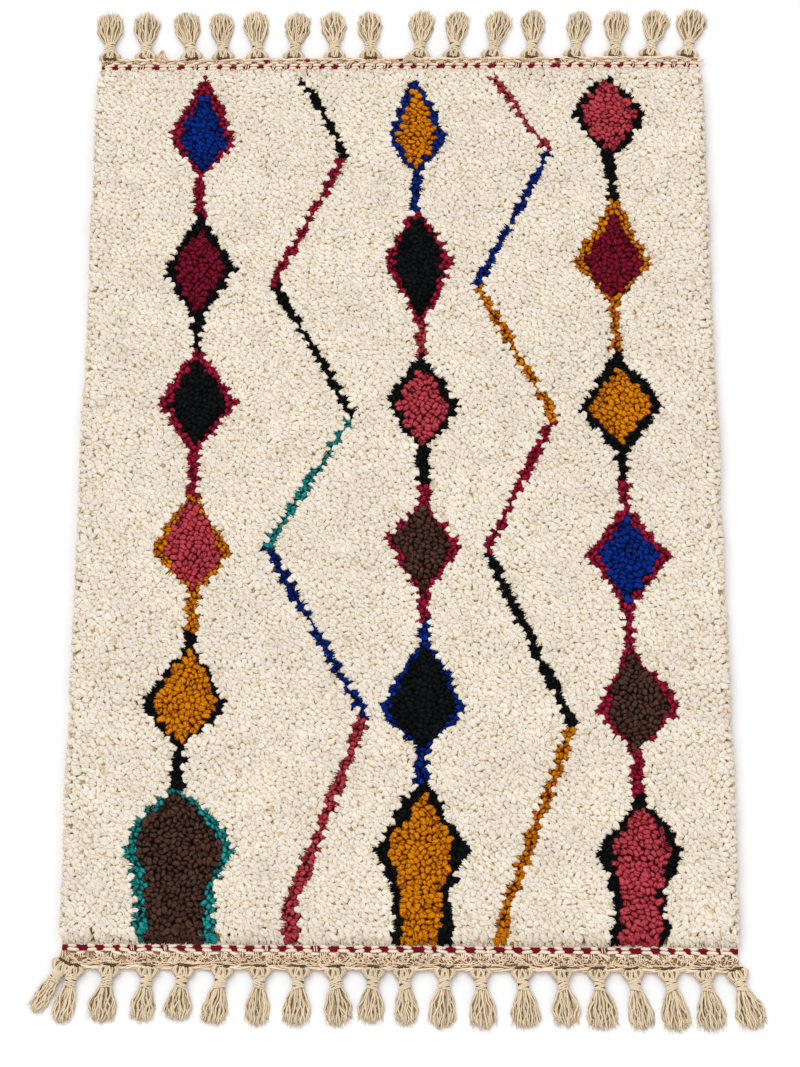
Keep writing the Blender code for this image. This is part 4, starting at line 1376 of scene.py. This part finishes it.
    def loose_fibres(self):
        """The cut tips fray into loose, paler fibres."""
        rng, size = self.rng, (LOOSE_FIBRES, 1)
        across = rng.uniform(-0.47, 0.47, size) * self.skirt_width
        share = np.linspace(0, 1, 4)[None]
        sideways = rng.normal(0, 0.0016, size)
        start = self.reach - 0.015 - self.habit["round"] * (2 * across / self.skirt_width) ** 2
        out = start + rng.uniform(0.011, 0.0185, size) * share
        self.strands(
            4, across * (1 + 0.12 * share) + sideways * share, out,
            rng.uniform(0.0016, 0.0052, size) - 0.0018 * share, 0.0013 * (1 - 0.6 * share), tone=1.2)

    def inner_loop(self):
        """A tassel knotted further in: its loop lies over the cord and the stitching."""
        turn = np.linspace(-0.15, 1.20, 9)[None] * math.pi
        ring = np.array(INNER_LOOP["yarns"])[:, None]
        # The loop's yarns are painted in a little shade.
        self.strands(
            9, INNER_LOOP["across"] + ring * np.cos(turn), INNER_LOOP["out"] + ring * np.sin(turn),
            0.0112 - 0.10 * ring + 0 * turn, 0.0031, below=0.0003)

    def finish(self):
        self.heap.finish(f"{self.node}_yarns", END_FINISHES["tassel"], "tassel_wool", [self.node])


def tassels():
    runs = {rings: yarn_run(rings) for rings in (8, 9)}
    runs[4], runs[6] = yarn_run(4, 3), yarn_run(6, 3)
    rng = np.random.default_rng(SEED + 5)
    for node in sorted(frame["nodes"]):
        if node.startswith("tassel_"):
            tassel = Tassel(node, -1 if "near" in node else 1, rng, runs)
            tassel.hole()
            tassel.ears()
            tassel.neck()
            tassel.skirt()
            tassel.loose_fibres()
            if node == "tassel_far_09":
                tassel.inner_loop()
            tassel.finish()


# Each finish runs from a painted highlight at the crest, through the yarn's own colour, to painted shade in
# the groove and pit.
END_FINISHES = {
    "red": wool("red_weft_wool", "#800824", "#6E051D", "#3E0210", "#1C0008"),
    "cream": wool(
        "cream_twined_wool", "#F3E3D2", "#EAD5BF", "#C8A283", "#805A3C", stops=(0.2, 1.2, 2.2, 4.2),
        tones=0.08),
    "band": wool("stitched_wool", "#FBEAD4", "#F0D8BA", "#C99F76", "#85603A", stops=(0.2, 1.0, 2.0, 4.2)),
    "tassel": wool(
        "tan_tassel_wool", "#EADABF", "#D8C2A0", "#AA8862", "#5C4024", stops=(0.2, 1.1, 2.1, 4.4)),
}


# ---- the stage and the camera ----------------------------------------------
SURROUND_STRENGTH = 0.93
WINDOW = {"strength": 0.80, "softness": 40, "lean": (-34, -30)}     # angles in degrees
CAMERA = {"lens": 97.647, "place": (0.0, -1.795, 4.175), "tilt": 22.303}


def stage():
    """A pale floor, a soft white surround and a large soft light from the upper left."""
    deselect_all()
    bpy.ops.mesh.primitive_plane_add(size=40.0)
    floor = bpy.context.object
    floor.name = "floor"
    finish = bpy.data.materials.new("white_paper_floor")
    finish.use_nodes = True
    shader = finish.node_tree.nodes["Principled BSDF"]
    shader.inputs["Base Color"].default_value = (*linear("#FAFAFB"), 1)
    shader.inputs["Roughness"].default_value = 0.9
    shader.inputs["Specular IOR Level"].default_value = 0.0
    floor.data.materials.append(finish)

    world = bpy.data.worlds.new("soft_surround")
    world.use_nodes = True
    surround = world.node_tree.nodes["Background"]
    surround.inputs["Color"].default_value = (*linear("#FFFFFF"), 1)
    surround.inputs["Strength"].default_value = SURROUND_STRENGTH
    bpy.context.scene.world = world
    lamp = bpy.data.lights.new("window_light", "SUN")
    lamp.energy = WINDOW["strength"]
    lamp.angle = math.radians(WINDOW["softness"])
    light = bpy.data.objects.new("window_light", lamp)
    light.rotation_euler = (*(math.radians(angle) for angle in WINDOW["lean"]), 0)
    bpy.context.scene.collection.objects.link(light)
    bpy.context.scene.view_settings.view_transform = "Standard"


def photograph_camera():
    """The camera stands beyond the near end and looks down at the rug's middle."""
    lens = bpy.data.cameras.new("photograph_camera")
    lens.lens = CAMERA["lens"]
    camera = bpy.data.objects.new("photograph_camera", lens)
    camera.location = CAMERA["place"]
    camera.rotation_euler = (math.radians(CAMERA["tilt"]), 0.0, 0.0)
    bpy.context.scene.collection.objects.link(camera)
    bpy.context.scene.camera = camera


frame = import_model()
pile()
cloth = ground_cloth()
woven_end("near", -1)
woven_end("far", 1)
tassels()
stage()
photograph_camera()
